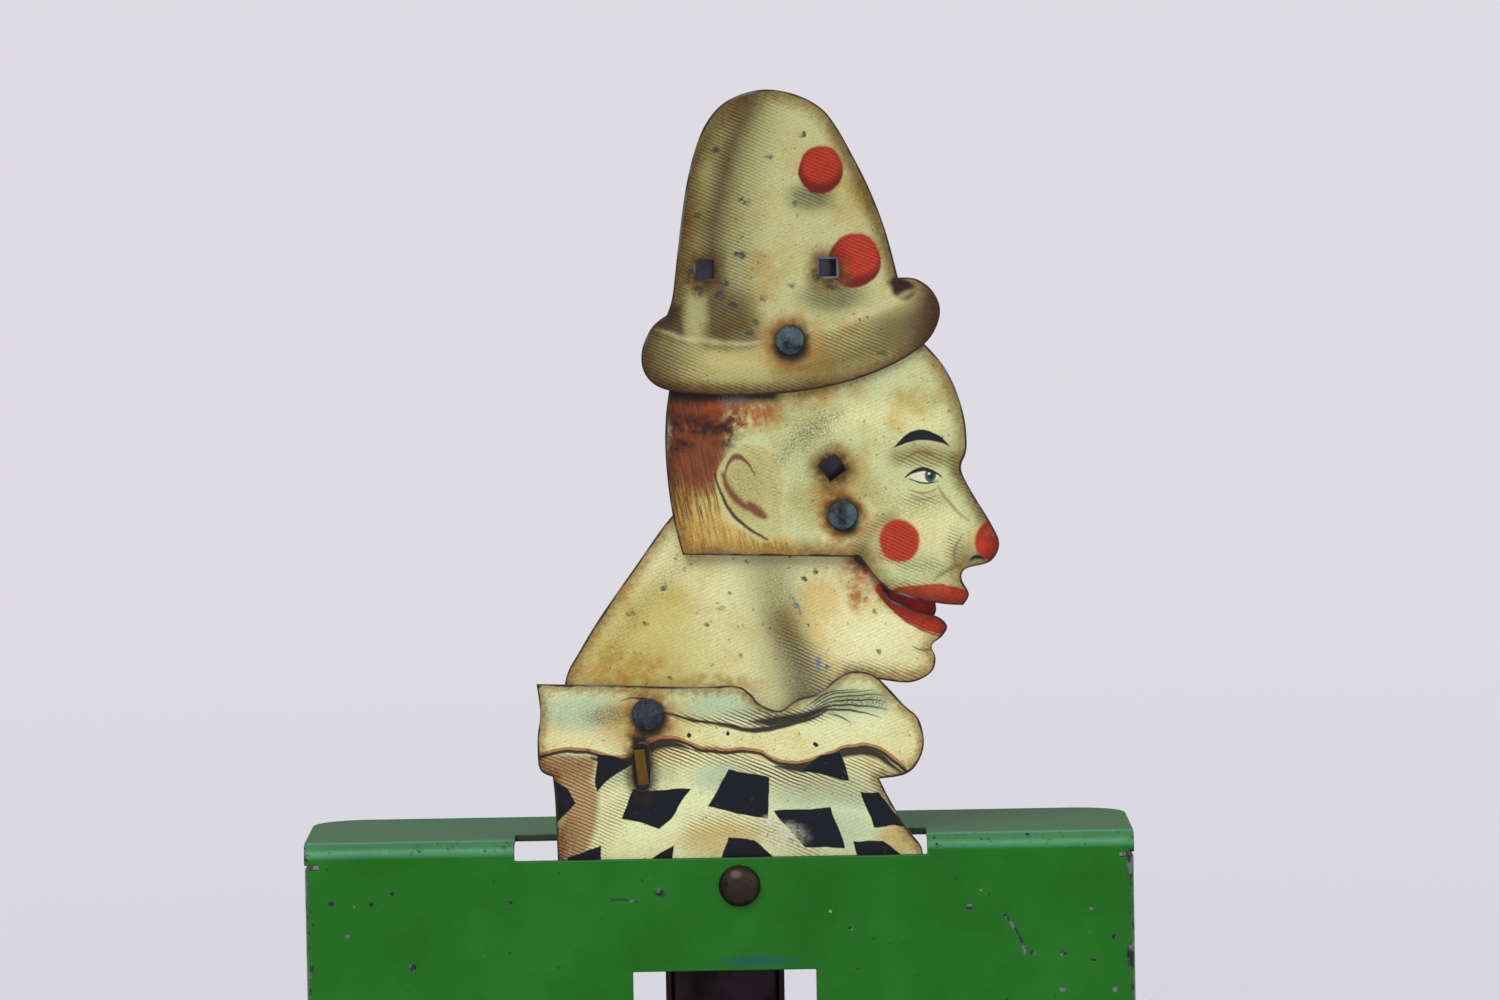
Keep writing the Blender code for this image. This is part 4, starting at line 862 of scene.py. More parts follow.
@dataclass(frozen=True)
class Print:
    """The finish of a printed plate: a ground colour, the inks over it and its age."""

    name: str
    ground: Colour
    inks: tuple[Ink, ...]
    tan: Colour = (226, 186, 112)
    tan_share: float = 0.75
    shade: Colour = (168, 136, 88)
    shade_reach: float = 2.2
    wobble: Drift = Drift(0.9, 0.22)
    bend: Drift = Drift(0.17, 1.0)
    tear: Drift = Drift(1.9, 0.9)
    lines_lie: Lie = Lie(-24)
    lines: float = 0.85
    dots_lie: Lie = Lie(30, (1.0, 1.0, 1.8))
    dots: Clouds = Clouds(3.6, 2.0, 0.6)
    dotted: Rise = Rise(0.36, 0.64)
    ragged: Clouds = Clouds(0.85, 4.0, 0.7)
    torn: Rise = Rise(0.32, 0.60)
    streaks_lie: Lie = Lie(12, (3.4, 1.0, 0.24))
    streaks: Clouds = Clouds(1.0, 3.0, 0.7)
    streaked: Rise = Rise(0.38, 0.60)
    specular: float = 0.22
    varnish: float = 0.03
    varnish_roughness: float = 0.25
    relief: float = 0.5
    relief_depth: float = 0.25 * MM

    def touches(self, graph: Graph, place: Socket) -> dict[Touch, Socket]:
        """Return the value that each touch multiplies an ink by.

        Args:
            graph: The material's graph.
            place: The place in millimetres.

        Returns:
            A socket for each touch but the solid one.
        """
        lines = graph.use(tools.hatching, Place=self.lines_lie.of(graph, place), Lines=self.lines)
        dots = self.dots.over(graph, self.dots_lie.of(graph, place))
        ragged = self.ragged.over(graph, place)
        streaks = self.streaks.over(graph, self.streaks_lie.of(graph, place))
        return {
            Touch.HATCHED: lines.outputs[0],
            Touch.STIPPLED: self.dotted.of(graph, dots),
            Touch.RAGGED: self.torn.of(graph, ragged),
            Touch.STREAKED: self.streaked.of(graph, streaks),
        }

    def build(self) -> bpy.types.Material:
        """Build the material."""
        material, graph, shader = new_material(self.name)
        place = graph.flat(graph.millimetres())
        drawn = graph.vector("ADD", place, self.wobble.of(graph, place))
        drawn = graph.flat(graph.vector("ADD", drawn, self.bend.of(graph, place)))
        torn = graph.flat(graph.vector("ADD", drawn, self.tear.of(graph, place)))
        touches = self.touches(graph, place)
        colour = linear(self.ground)
        for ink in self.inks:
            cover = None
            for shape in ink.shapes:
                mask = shape.mask(graph, torn if ink.touch is Touch.RAGGED else drawn)
                cover = mask if cover is None else graph.larger(cover, mask)
            if ink.touch is not Touch.SOLID:
                cover = graph.times(cover, touches[ink.touch])
            colour = graph.paint(colour, cover, ink.strength, ink.colour)
        distance = graph.node("ShaderNodeAttribute", attribute_name=EDGE_DISTANCE)
        aged = graph.use(tools.ageing, Color=colour, Place=place,
                         From_Edge=distance.outputs["Fac"], Tan=linear(self.tan),
                         Tan_Share=self.tan_share, Shade=linear(self.shade),
                         Shade_Reach=self.shade_reach)
        graph.fill(shader, Base_Color=aged.outputs["Color"], Roughness=aged.outputs["Roughness"],
                   Specular_IOR_Level=self.specular, Coat_Weight=self.varnish,
                   Coat_Roughness=self.varnish_roughness)
        bumped(graph, shader, aged.outputs["Height"], self.relief, self.relief_depth)
        return material


BLACK = (6, 12, 23)
LINE = (36, 28, 26)
RUST = (150, 92, 30)
BURNT = (34, 18, 18)
SLATE = (52, 56, 62)
SKY = (178, 195, 156)


def rivet_stain_and_shadow(centre: Point, reach: float) -> tuple[Ink, ...]:
    """Return the rust and the dirt round a rivet or a hole, with a painted shadow of its head.

    Args:
        centre: The rivet's place in millimetres.
        reach: How far the rust goes, in millimetres.

    Returns:
        The inks, from the widest to the darkest, which lies a little below the rivet: dirt, and its
        painted shadow.
    """
    # The darkest ring is partly a painted shadow, shifted down and to the right of the rivet
    below = (centre[0] + 0.12, centre[1] - 0.15)
    return (
        Ink((176, 136, 60), 0.75, (Spot(centre, reach * 1.4, reach * 1.3, 0.5),), Touch.RAGGED),
        Ink(RUST, 0.80, (Spot(centre, reach, reach, 0.4),), Touch.RAGGED),
        Ink((28, 20, 16), 0.95, (Spot(below, reach * 0.76, reach * 0.80, 0.30),)),
    )


HAT_CROWN = (
    Ink((150, 146, 92), 0.75, (Stroke((3.5, 153.0), (0.8, 127.5), 9.0, -1.8, 2.6),)),
    Ink((96, 92, 52), 0.60, (Stroke((5.2, 152.5), (2.8, 127.5), 5.4, -1.6, 2.4),), Touch.HATCHED),
    Ink((124, 116, 66), 0.90, (
        Stroke((-5.0, 128.0), (-2.6, 143.0), 3.8, -0.3, 1.5),
        Stroke((-2.6, 143.0), (4.2, 152.8), 1.6, 0.9, 1.1))),
    Ink((150, 132, 66), 0.70, (Stroke((-2.7, 137.0), (1.4, 148.0), 1.1, 0.5, 0.7),), Touch.RAGGED),
    Ink((98, 86, 50), 0.95, (Stroke((4.8, 152.2), (0.6, 127.6), 2.2, -1.9, 1.5),)),
    Ink((66, 48, 30), 0.75, (Stroke((3.4, 151.0), (0.6, 127.6), 2.0, -1.6, 1.2),), Touch.HATCHED),
    Ink((70, 60, 34), 0.55, (
        Stroke((-5.0, 128.0), (-2.4, 143.0), 4.6, -0.3, 1.2),
        Stroke((-3.0, 142.0), (3.0, 151.0), 1.6, 0.9, 0.8)), Touch.HATCHED),
    Ink((134, 128, 74), 0.80, (Stroke((14.0, 150.0), (21.6, 131.4), 1.1, 0.1, 1.0),)),
    Ink((96, 84, 46), 0.80, (Patch((0.0, 134.0), (0.0, 126.4), (6.4, 126.2), (4.4, 131.6), 1.6),)),
    Ink((66, 48, 30), 0.60, (
        Patch((0.0, 132.5), (0.0, 126.5), (5.4, 126.4), (3.4, 131.0), 1.2),), Touch.HATCHED),
    Ink((78, 56, 32), 0.90, (
        Patch((-6.2, 131.0), (-6.2, 127.8), (-2.7, 126.8), (-2.9, 130.6), 0.5),)),
    Ink((46, 28, 20), 0.70, (
        Patch((-6.2, 130.6), (-6.2, 128.0), (-2.9, 127.0), (-3.4, 130.0), 0.6),), Touch.HATCHED),
    Ink((170, 168, 112), 0.75, (Stroke((-1.4, 132.6), (-1.2, 127.2), 1.9, 0.1, 0.6, 0.2),)),
    Ink((112, 116, 76), 0.80, (
        Spot((11.3, 142.2), 2.3, 1.5, 0.7), Spot((13.6, 131.4), 3.4, 1.7, 0.6))),
    Ink((74, 76, 50), 0.60, spots(
        0.6, (11.3, 142.4, 2.0, 1.2), (13.4, 131.6, 3.0, 1.4)), Touch.HATCHED),
)

HAT_BRIM = (
    Ink((176, 168, 108), 1.0, (
        Stroke((-6.0, 124.6), (6.0, 123.8), 4.6, -0.8, 0.5),
        Stroke((6.0, 123.8), (23.0, 128.4), 4.8, -0.9, 0.5))),
    Ink((196, 184, 120), 0.80, (Stroke((0.0, 124.6), (12.0, 124.4), 1.6, -0.4, 1.1),)),
    Ink((104, 94, 50), 0.95, (Spot((-7.0, 124.6), 3.4, 3.8, 0.8),)),
    Ink((112, 100, 54), 0.70, (Stroke((8.0, 123.4), (22.0, 127.2), 2.6, -0.8, 1.4),)),
    Ink((74, 60, 32), 0.70, (
        *spots(0.6, (-6.0, 124.2, 4.6, 3.6), (17.0, 126.4, 6.4, 1.9)),
        Stroke((-5.0, 122.6), (11.0, 121.6), 1.2, -0.9, 1.0)), Touch.HATCHED),
    Ink((112, 98, 56), 0.85, (Spot((21.2, 127.6), 3.4, 2.0, 0.7),)),
    Ink((80, 58, 38), 0.95, (
        Spot((24.8, 128.8), 2.6, 3.8, 0.6), Spot((21.6, 131.8), 1.3, 1.1, 0.3))),
    Ink((60, 30, 24), 0.95, (
        Patch((19.6, 132.8), (20.8, 130.9), (22.9, 131.9), (20.8, 133.8), 0.40),)),
    Ink((92, 52, 30), 0.90, (
        Stroke((-5.6, 121.7), (11.0, 120.9), 1.7, -0.9, 1.1),
        Stroke((11.0, 120.9), (24.0, 125.6), 1.6, -0.9, 1.1))),
    Ink((206, 198, 146), 0.70, (
        Stroke((-5.8, 128.0), (6.0, 126.7), 0.5, -0.7, 0.40, 0.7),
        Stroke((6.0, 126.7), (23.2, 132.2), 0.7, -1.0, 0.45, 0.7))),
)

HAT_SPOTS = (
    Ink((112, 26, 20), 1.0, spots(0.06, (12.5, 145.2, 2.40, 2.65), (16.1, 135.2, 2.85, 3.0))),
    Ink((184, 58, 34), 1.0, spots(0.22, (12.6, 145.8, 2.1, 2.05), (16.3, 135.8, 2.5, 2.35))),
    Ink((112, 26, 18), 0.50, spots(
        0.1, (12.5, 145.3, 2.3, 2.5), (16.1, 135.3, 2.7, 2.8)), Touch.HATCHED),
)

HAT_WEAR = (
    Ink((150, 118, 56), 0.60, spots(
        0.5, (-0.8, 133.9, 2.1, 2.3), (13.0, 133.5, 2.2, 2.2)), Touch.RAGGED),
    Ink((44, 36, 26), 0.85, (
        *spots(0.4, (-0.8, 134.2, 1.6, 1.5), (12.9, 134.2, 1.6, 1.6)),
        Spot((-1.0, 132.4), 0.8, 0.9, 0.6)), Touch.RAGGED),
    Ink(SLATE, 0.95, spots(
        0.4, (10.4, 149.3, 0.50, 0.36), (1.0, 147.6, 0.5, 0.40), (3.4, 136.1, 0.80, 0.45),
        (1.5, 133.1, 0.6, 0.40), (1.2, 131.7, 0.6, 0.55), (6.1, 131.4, 0.4, 0.35),
        (2.6, 130.5, 0.5, 0.35), (-1.1, 140.4, 0.5, 0.30), (4.4, 141.9, 0.45, 0.35),
        (3.7, 142.4, 0.3, 0.25), (9.0, 132.7, 0.35, 0.25), (4.4, 127.6, 0.5, 0.3),
        (5.0, 128.8, 0.35, 0.3), (13.6, 132.4, 0.6, 0.3), (-7.6, 123.8, 0.5, 0.4),
        (19.0, 125.0, 0.6, 0.3), (9.6, 141.6, 0.4, 0.3), (6.8, 146.6, 0.5, 0.22)), Touch.RAGGED),
    *rivet_stain_and_shadow((8.8, 126.4), 2.6),
)

SKIN = (
    Ink((224, 220, 158), 0.90, (
        Stroke((14.0, 104.6), (25.0, 106.0), 5.0, 0.8, 2.6),
        Stroke((14.0, 117.6), (24.0, 117.0), 3.0, 0.8, 2.0))),
    Ink((140, 142, 88), 0.60, (
        Stroke((9.5, 119.0), (11.5, 109.0), 5.5, 1.5, 2.5),
        Stroke((16.0, 103.4), (25.0, 100.8), 2.0, 0.6, 1.4),
        Stroke((17.0, 110.2), (24.6, 108.4), 2.2, -1.6, 1.4)), Touch.STIPPLED),
    Ink((166, 130, 58), 0.70, (
        Stroke((0.0, 104.2), (18.0, 103.0), 2.0, 0.0, 1.3),
        Stroke((6.5, 119.9), (16.0, 121.5), 2.6, 0.0, 1.5)), Touch.RAGGED),
)

HAIR_AND_BRIM_SHADOW = (
    Ink((206, 186, 104), 1.0, (
        Stroke((-1.8, 121.5), (-2.3, 106.0), 6.6, 0.0, 0.3),
        Stroke((-2.4, 106.6), (8.0, 103.8), 3.4, -0.2, 0.3, 0.35))),
    Ink((128, 60, 36), 0.95, (Stroke((-1.6, 121.5), (-1.9, 113.5), 7.0, 0.0, 1.4),)),
    Ink((158, 96, 52), 0.66, (
        Stroke((-1.8, 114.0), (-2.2, 106.5), 6.6, 0.0, 2.2),
        Stroke((-2.0, 106.5), (8.0, 103.9), 2.0, -0.2, 0.6, 0.5)), Touch.STREAKED),
    Ink((64, 24, 20), 0.65, (
        Stroke((-1.6, 121.5), (-1.9, 110.5), 6.8, 0.0, 1.2),), Touch.STREAKED),
    Ink((176, 84, 22), 0.90, spots(
        0.5, (3.6, 118.4, 3.6, 1.8), (0.8, 118.9, 2.6, 1.1)), Touch.RAGGED),
    Ink((110, 44, 14), 0.90, (Stroke((-4.8, 118.8), (3.2, 118.4), 1.4, 0.0, 0.7),), Touch.RAGGED),
    # Painted shadow of the hat's brim on the hair, just under the brim's edge
    Ink(BURNT, 0.95, (Stroke((-5.0, 120.9), (6.6, 120.6), 1.8, 0.0, 0.7),)),
    Ink(BURNT, 0.97, (
        Stroke((-5.0, 117.6), (2.6, 117.3), 2.3, -0.3, 0.9, 0.3),
        Spot((1.6, 116.2), 1.6, 1.3, 0.5), Spot((-3.4, 115.2), 1.6, 0.9, 0.6)), Touch.RAGGED),
    Ink((150, 72, 26), 0.60, (
        Stroke((-4.4, 116.5), (2.4, 116.2), 0.8, -0.4, 0.4),
        Spot((4.6, 119.0), 2.4, 1.0, 0.6)), Touch.STREAKED),
    Ink((96, 94, 88), 0.85, (Spot((2.4, 119.9), 1.6, 0.8, 0.5),), Touch.STREAKED),
    Ink((186, 200, 212), 0.90, (Spot((-5.0, 116.4), 0.5, 1.6, 0.5),), Touch.RAGGED),
)

EAR = (
    Ink((192, 186, 122), 1.0, (
        Spot((4.1, 110.6), 3.7, 4.6, 0.06), Spot((5.6, 106.6), 2.0, 2.1, 0.12))),
    Ink((150, 138, 76), 0.80, (Spot((3.6, 110.4), 2.3, 3.2, 0.4),), Touch.STIPPLED),
    Ink((208, 202, 144), 0.80, (Stroke((1.0, 109.6), (4.6, 105.6), 0.8, -1.0, 0.4, 0.4),)),
    Ink((70, 30, 22), 0.95, (Stroke((0.3, 112.0), (6.0, 104.8), 0.42, -1.3, 0.15, 0.5),)),
    Ink((112, 50, 36), 0.90, (
        Stroke((4.5, 112.0), (1.3, 111.6), 0.75, -2.0, 0.25, 0.5),
        Stroke((1.3, 111.9), (5.0, 107.9), 0.80, -0.9, 0.3, 0.3),
        Stroke((4.0, 108.6), (5.6, 107.3), 1.1, 0.0, 0.3, 0.3))),
    Ink((150, 112, 70), 0.60, (
        Stroke((3.6, 114.9), (6.8, 108.0), 0.8, 1.2, 0.6, 0.6),), Touch.HATCHED),
)

FACE_SHADES = (
    Ink((150, 146, 92), 0.85, (
        Stroke((20.4, 113.4), (27.0, 113.0), 1.9, 0.6, 1.0),
        Stroke((26.6, 112.6), (30.2, 106.2), 1.4, 0.3, 0.9),
        Stroke((16.4, 101.6), (19.6, 106.8), 1.8, 1.2, 1.2), Spot((27.6, 102.6), 1.6, 1.2, 0.8))),
    Ink((96, 78, 44), 0.60, (
        Stroke((20.6, 113.3), (26.4, 113.0), 1.5, 0.5, 0.7),
        Stroke((26.8, 112.0), (29.6, 106.8), 1.0, 0.3, 0.7),
        Stroke((15.6, 101.0), (18.8, 106.4), 1.6, 1.2, 1.0),
        Stroke((21.2, 101.6), (25.8, 101.0), 1.2, 0.6, 0.8),
        *spots(0.8, (22.8, 108.8, 2.2, 0.7), (29.4, 118.6, 1.2, 2.6))), Touch.HATCHED),
)

MAKE_UP = (
    Ink((184, 60, 36), 1.0, (Spot((20.4, 104.4), 2.3, 2.3, 0.09),)),
    Ink((112, 28, 20), 0.55, (Spot((20.2, 104.0), 2.3, 2.3, 0.2),), Touch.HATCHED),
    Ink((184, 58, 36), 1.0, (Spot((31.4, 104.0), 2.6, 2.4, 0.08),)),
    Ink((150, 40, 28), 0.60, (
        Stroke((29.6, 102.4), (33.0, 102.0), 0.9, -0.4, 0.5),), Touch.HATCHED),
    Ink((216, 122, 88), 0.60, (Spot((31.0, 105.0), 0.9, 0.5, 0.7),)),
    Ink((188, 64, 42), 1.0, (Stroke((20.2, 98.4), (28.2, 97.8), 2.2, 0.3, 0.12, 0.35),)),
    Ink((132, 38, 28), 0.60, (
        Stroke((20.6, 97.8), (28.0, 97.2), 1.1, 0.2, 0.5, 0.35),), Touch.HATCHED),
)

FEATURES = (
    Ink((128, 96, 56), 0.75, (
        Stroke((27.0, 101.2), (27.3, 104.8), 0.34, 0.7, 0.22, 0.7),
        Stroke((24.2, 100.0), (27.2, 101.6), 0.5, 0.3, 0.35, 0.6),
        Stroke((24.9, 110.2), (28.2, 106.2), 0.30, -0.4, 0.25, 0.6),
        Stroke((20.8, 113.0), (25.4, 112.9), 0.28, 1.0, 0.14, 0.7),
        Stroke((21.5, 110.0), (25.0, 110.1), 0.22, -0.55, 0.14, 0.8),
        Stroke((21.9, 109.3), (24.6, 109.2), 0.18, -0.5, 0.16, 0.8))),
    Ink((124, 102, 60), 0.70, spots(
        0.6, (26.4, 103.6, 1.0, 1.9), (23.4, 112.9, 2.6, 0.6),
        (22.0, 98.4, 2.8, 1.9)), Touch.HATCHED),
    Ink((226, 222, 190), 0.95, (Spot((23.3, 111.35), 1.55, 0.74, 0.14),)),
    Ink((64, 90, 88), 1.0, (Spot((24.0, 111.45), 0.64, 0.72, 0.14),)),
    Ink((30, 34, 40), 1.0, (Spot((24.05, 111.45), 0.33, 0.37, 0.2),)),
    Ink((232, 234, 226), 0.9, (Spot((23.88, 111.72), 0.13, 0.13, 0.4),)),
    Ink(LINE, 1.0, (
        Stroke((21.2, 111.2), (25.2, 111.3), 0.46, 0.95, 0.09, 0.6),
        Stroke((21.6, 110.95), (24.9, 110.85), 0.20, -0.28, 0.08, 0.6),
        Stroke((28.3, 102.0), (29.9, 101.9), 0.50, 0.35, 0.18, 0.7))),
    Ink((20, 24, 34), 1.0, (Stroke((20.0, 114.4), (26.2, 114.6), 1.25, 1.3, 0.10, 0.95),)),
)

HEAD_WEAR_AND_SHADE = (
    Ink((60, 56, 46), 0.70, (
        Stroke((7.6, 113.4), (12.0, 117.0), 1.6, 0.6, 1.2),
        Stroke((10.0, 114.6), (14.0, 118.6), 1.0, 0.6, 1.0)), Touch.STIPPLED),
    # Painted shade: a dark spot on the head plate that shows through the hat's left hole
    Ink((24, 20, 18), 0.97, (Spot((-0.4, 134.5), 1.8, 1.8, 0.3),)),
    Ink(RUST, 0.75, (Spot((13.25, 112.5), 2.3, 2.2, 0.5),), Touch.RAGGED),
    Ink((44, 32, 22), 0.85, (Spot((13.25, 112.5), 1.7, 1.7, 0.35),), Touch.RAGGED),
    *rivet_stain_and_shadow((14.3, 107.1), 2.5),
)

NECK_SHADES = (
    Ink((196, 182, 100), 0.85, spots(0.7, (-9.0, 92.0, 8.0, 7.0), (-6.0, 97.0, 4.0, 3.4))),
    Ink((236, 232, 176), 0.80, (Spot((16.0, 94.6), 5.5, 4.6, 0.6),)),
    Ink((166, 162, 112), 0.80, (Stroke((6.2, 101.5), (8.8, 87.0), 4.8, -0.8, 2.8),)),
    Ink((120, 112, 72), 0.75, (Stroke((7.4, 95.5), (9.6, 87.0), 3.0, 0.6, 1.8),)),
    Ink((60, 52, 34), 0.50, (Stroke((6.8, 99.0), (10.2, 87.0), 3.6, -0.2, 2.0),), Touch.STIPPLED),
    Ink((58, 42, 26), 0.75, (Stroke((8.2, 93.5), (11.4, 87.0), 2.2, 0.8, 1.4),), Touch.HATCHED),
    Ink((84, 70, 42), 0.60, (Stroke((9.6, 91.6), (12.6, 88.4), 2.4, 0.6, 1.3),), Touch.HATCHED),
    Ink((176, 136, 50), 0.75, spots(
        0.6, (-10.0, 90.0, 5.5, 2.8), (-1.0, 88.6, 6.0, 1.3)), Touch.RAGGED),
    Ink((140, 118, 60), 0.55, (
        Stroke((-12.0, 92.0), (-2.5, 103.0), 2.0, 0.6, 1.4),), Touch.STIPPLED),
    Ink((176, 104, 30), 0.90, spots(
        0.6, (16.4, 101.2, 2.5, 2.3), (15.4, 98.4, 0.8, 2.0)), Touch.RAGGED),
    Ink((140, 50, 22), 0.85, (Spot((16.6, 101.6), 1.0, 0.9, 0.5),), Touch.RAGGED),
    Ink((134, 112, 58), 0.70, (
        Stroke((14.0, 90.0), (22.0, 89.2), 1.8, 0.2, 1.0),
        Stroke((22.6, 92.2), (25.4, 93.6), 1.0, -0.4, 0.7)), Touch.HATCHED),
)

LOWER_LIP = (
    Ink((184, 60, 36), 1.0, (Stroke((18.4, 99.0), (25.8, 94.2), 2.0, -0.5, 0.12, 0.30),)),
    Ink((112, 28, 20), 0.60, (
        Stroke((18.4, 98.2), (25.6, 93.6), 0.9, -0.5, 0.4, 0.35),), Touch.HATCHED),
    Ink((128, 52, 34), 0.80, (Stroke((18.8, 97.6), (24.8, 93.6), 0.24, -0.5, 0.10, 0.5),)),
    Ink((128, 96, 56), 0.75, (Stroke((21.8, 92.6), (24.0, 92.4), 0.30, -0.35, 0.14, 0.6),)),
)

NECK_WEAR = (
    Ink((44, 104, 156), 0.95, (
        Stroke((8.4, 98.1), (9.5, 96.3), 0.30, 0.1, 0.12),
        *spots(0.4, (11.3, 90.8, 0.30, 0.8), (12.2, 90.3, 0.22, 0.3))), Touch.RAGGED),
    Ink(SLATE, 0.90, spots(
        0.4, (0.8, 97.0, 0.5, 0.3), (-5.6, 99.6, 0.35, 0.3), (-9.4, 96.6, 0.5, 0.25),
        (-2.6, 102.0, 0.3, 0.25), (11.2, 101.0, 0.3, 0.3), (17.6, 96.4, 0.3, 0.35),
        (9.9, 100.2, 0.40, 0.26), (1.8, 98.7, 0.28, 0.28), (-0.9, 95.2, 0.34, 0.24),
        (-7.8, 95.4, 0.30, 0.24), (-11.4, 93.1, 0.30, 0.24), (2.6, 92.0, 0.28, 0.28),
        (-5.1, 89.5, 0.34, 0.24), (-4.2, 102.8, 0.26, 0.22),
        (3.8, 102.2, 0.26, 0.22)), Touch.RAGGED),
    Ink(RUST, 0.90, spots(0.4, (16.6, 97.6, 0.36, 0.40), (18.1, 91.9, 0.30, 0.30)), Touch.RAGGED),
)

# The ruff's wavy hem: the start, the end and the bow of each wave
HEM = (
    ((-20.2, 80.7), (-13.5, 81.2), 0.55), ((-13.5, 81.2), (-8.9, 81.2), -0.55),
    ((-8.9, 81.2), (-2.2, 81.9), 1.10), ((-2.2, 81.9), (1.8, 81.3), -0.30),
    ((1.8, 81.3), (5.0, 80.9), 0.35), ((5.0, 80.9), (11.2, 80.5), -1.05),
    ((11.2, 80.5), (20.6, 78.9), 1.75),
)

BROWN_FOLD = (
    Patch((-20.0, 81.4), (-18.8, 77.6), (-14.0, 75.0), (-13.4, 80.8), 0.5),
    Stroke((-15.0, 77.0), (-17.4, 69.0), 3.6, 0.6, 0.5),
)

CLOTH_SHADES = (
    Ink((224, 220, 160), 0.85, (
        Stroke((-18.0, 83.4), (0.0, 83.4), 3.6, 0.6, 0.9),
        Stroke((0.0, 82.8), (20.0, 81.6), 4.0, -0.6, 0.9))),
    Ink(SKY, 0.90, (
        *spots(0.6, (-14.4, 86.0, 5.6, 2.0), (0.6, 86.3, 5.4, 1.5), (14.4, 86.8, 4.6, 1.6)),
        *spots(0.7, (12.0, 76.6, 7.6, 2.0), (0.5, 78.4, 3.4, 1.6), (-9.0, 79.0, 4.0, 1.2)),
        Spot((12.0, 72.6), 6.0, 2.4, 0.8))),
    Ink((150, 120, 62), 0.80, (
        Stroke((-12.6, 78.0), (-4.0, 81.0), 3.4, 1.2, 1.4),
        Stroke((-14.0, 70.0), (-8.0, 76.4), 3.2, 1.4, 1.2),
        Stroke((-3.0, 73.0), (10.0, 70.0), 2.6, 1.6, 1.2),
        Stroke((4.0, 79.6), (19.0, 77.0), 3.0, -0.6, 1.4)), Touch.HATCHED),
    Ink((182, 144, 66), 0.60, spots(
        0.6, (0.0, 71.6, 4.6, 1.6), (19.5, 71.4, 2.2, 1.8), (-8.6, 84.6, 4.4, 3.2))),
    Ink((170, 150, 100), 0.90, BROWN_FOLD),
    Ink((132, 52, 30), 0.85, BROWN_FOLD, Touch.HATCHED),
    Ink((110, 84, 40), 0.70, spots(
        0.7, (-16.2, 79.6, 2.6, 1.6), (-16.6, 71.4, 1.4, 2.6)), Touch.STIPPLED),
    *rivet_stain_and_shadow((-7.4, 85.0), 2.6),
)

HEM_SHADES = (
    Ink((112, 66, 36), 0.80, (
        Stroke((-6.4, 81.0), (3.4, 79.6), 2.0, 0.6, 0.8, 0.4),
        Stroke((3.4, 79.6), (12.0, 78.4), 2.0, -0.6, 0.8, 0.4),
        Stroke((13.4, 79.6), (19.4, 77.4), 2.0, 0.8, 0.8, 0.4)), Touch.HATCHED),
    Ink((60, 42, 28), 0.85, (
        Stroke((-6.4, 81.4), (3.4, 80.6), 0.9, 0.7, 0.5, 0.6),
        Stroke((3.4, 80.2), (12.0, 79.4), 0.9, -1.2, 0.5, 0.6)), Touch.HATCHED),
    Ink(LINE, 0.97, (
        *(Stroke(start, end, 0.44, bow, 0.10) for start, end, bow in HEM),
        Stroke((-9.8, 80.5), (-3.2, 81.9), 1.1, 1.0, 0.25, 0.7),
        Stroke((-14.0, 80.8), (-8.4, 80.9), 0.7, -0.5, 0.2, 0.6),
        Stroke((6.4, 79.6), (12.6, 80.4), 1.0, -0.6, 0.25, 0.7),
        Stroke((11.4, 80.1), (20.0, 78.8), 1.1, 1.6, 0.25, 0.7))),
    Ink((168, 92, 48), 0.85, 
        tuple(Stroke(start, end, 0.36, bow, fringe=True) for start, end, bow in HEM)),
)

CHEQUERS = (
    Ink(BLACK, 1.0, (
        Patch((-13.4, 81.2), (-13.3, 77.3), (-9.6, 80.4), (-11.2, 81.0)),
        Patch((-19.6, 79.4), (-19.0, 72.6), (-15.6, 75.9), (-16.3, 77.2)),
        Patch((-9.4, 77.5), (-10.8, 73.9), (-6.4, 73.0), (-3.0, 77.1)),
        Patch((1.3, 79.2), (-1.1, 75.2), (5.6, 74.1), (5.6, 78.5)),
        Patch((6.2, 74.9), (9.7, 70.6), (13.8, 70.6), (12.6, 74.9)),
        Patch((15.6, 76.9), (17.2, 72.9), (20.5, 72.5), (17.7, 76.7)),
        Patch((11.2, 80.9), (9.3, 79.0), (14.3, 77.9), (13.4, 81.2)),
        Patch((1.1, 71.9), (0.1, 69.0), (6.6, 69.0), (3.9, 71.5)),
        Patch((14.6, 71.5), (15.6, 69.0), (21.0, 69.0), (18.0, 71.3)),
        Patch((-16.8, 69.9), (-16.9, 69.0), (-12.9, 69.0), (-12.9, 71.2)),
        Patch((-7.6, 69.6), (-7.6, 69.0), (-5.1, 69.0), (-5.0, 71.2)))),
)

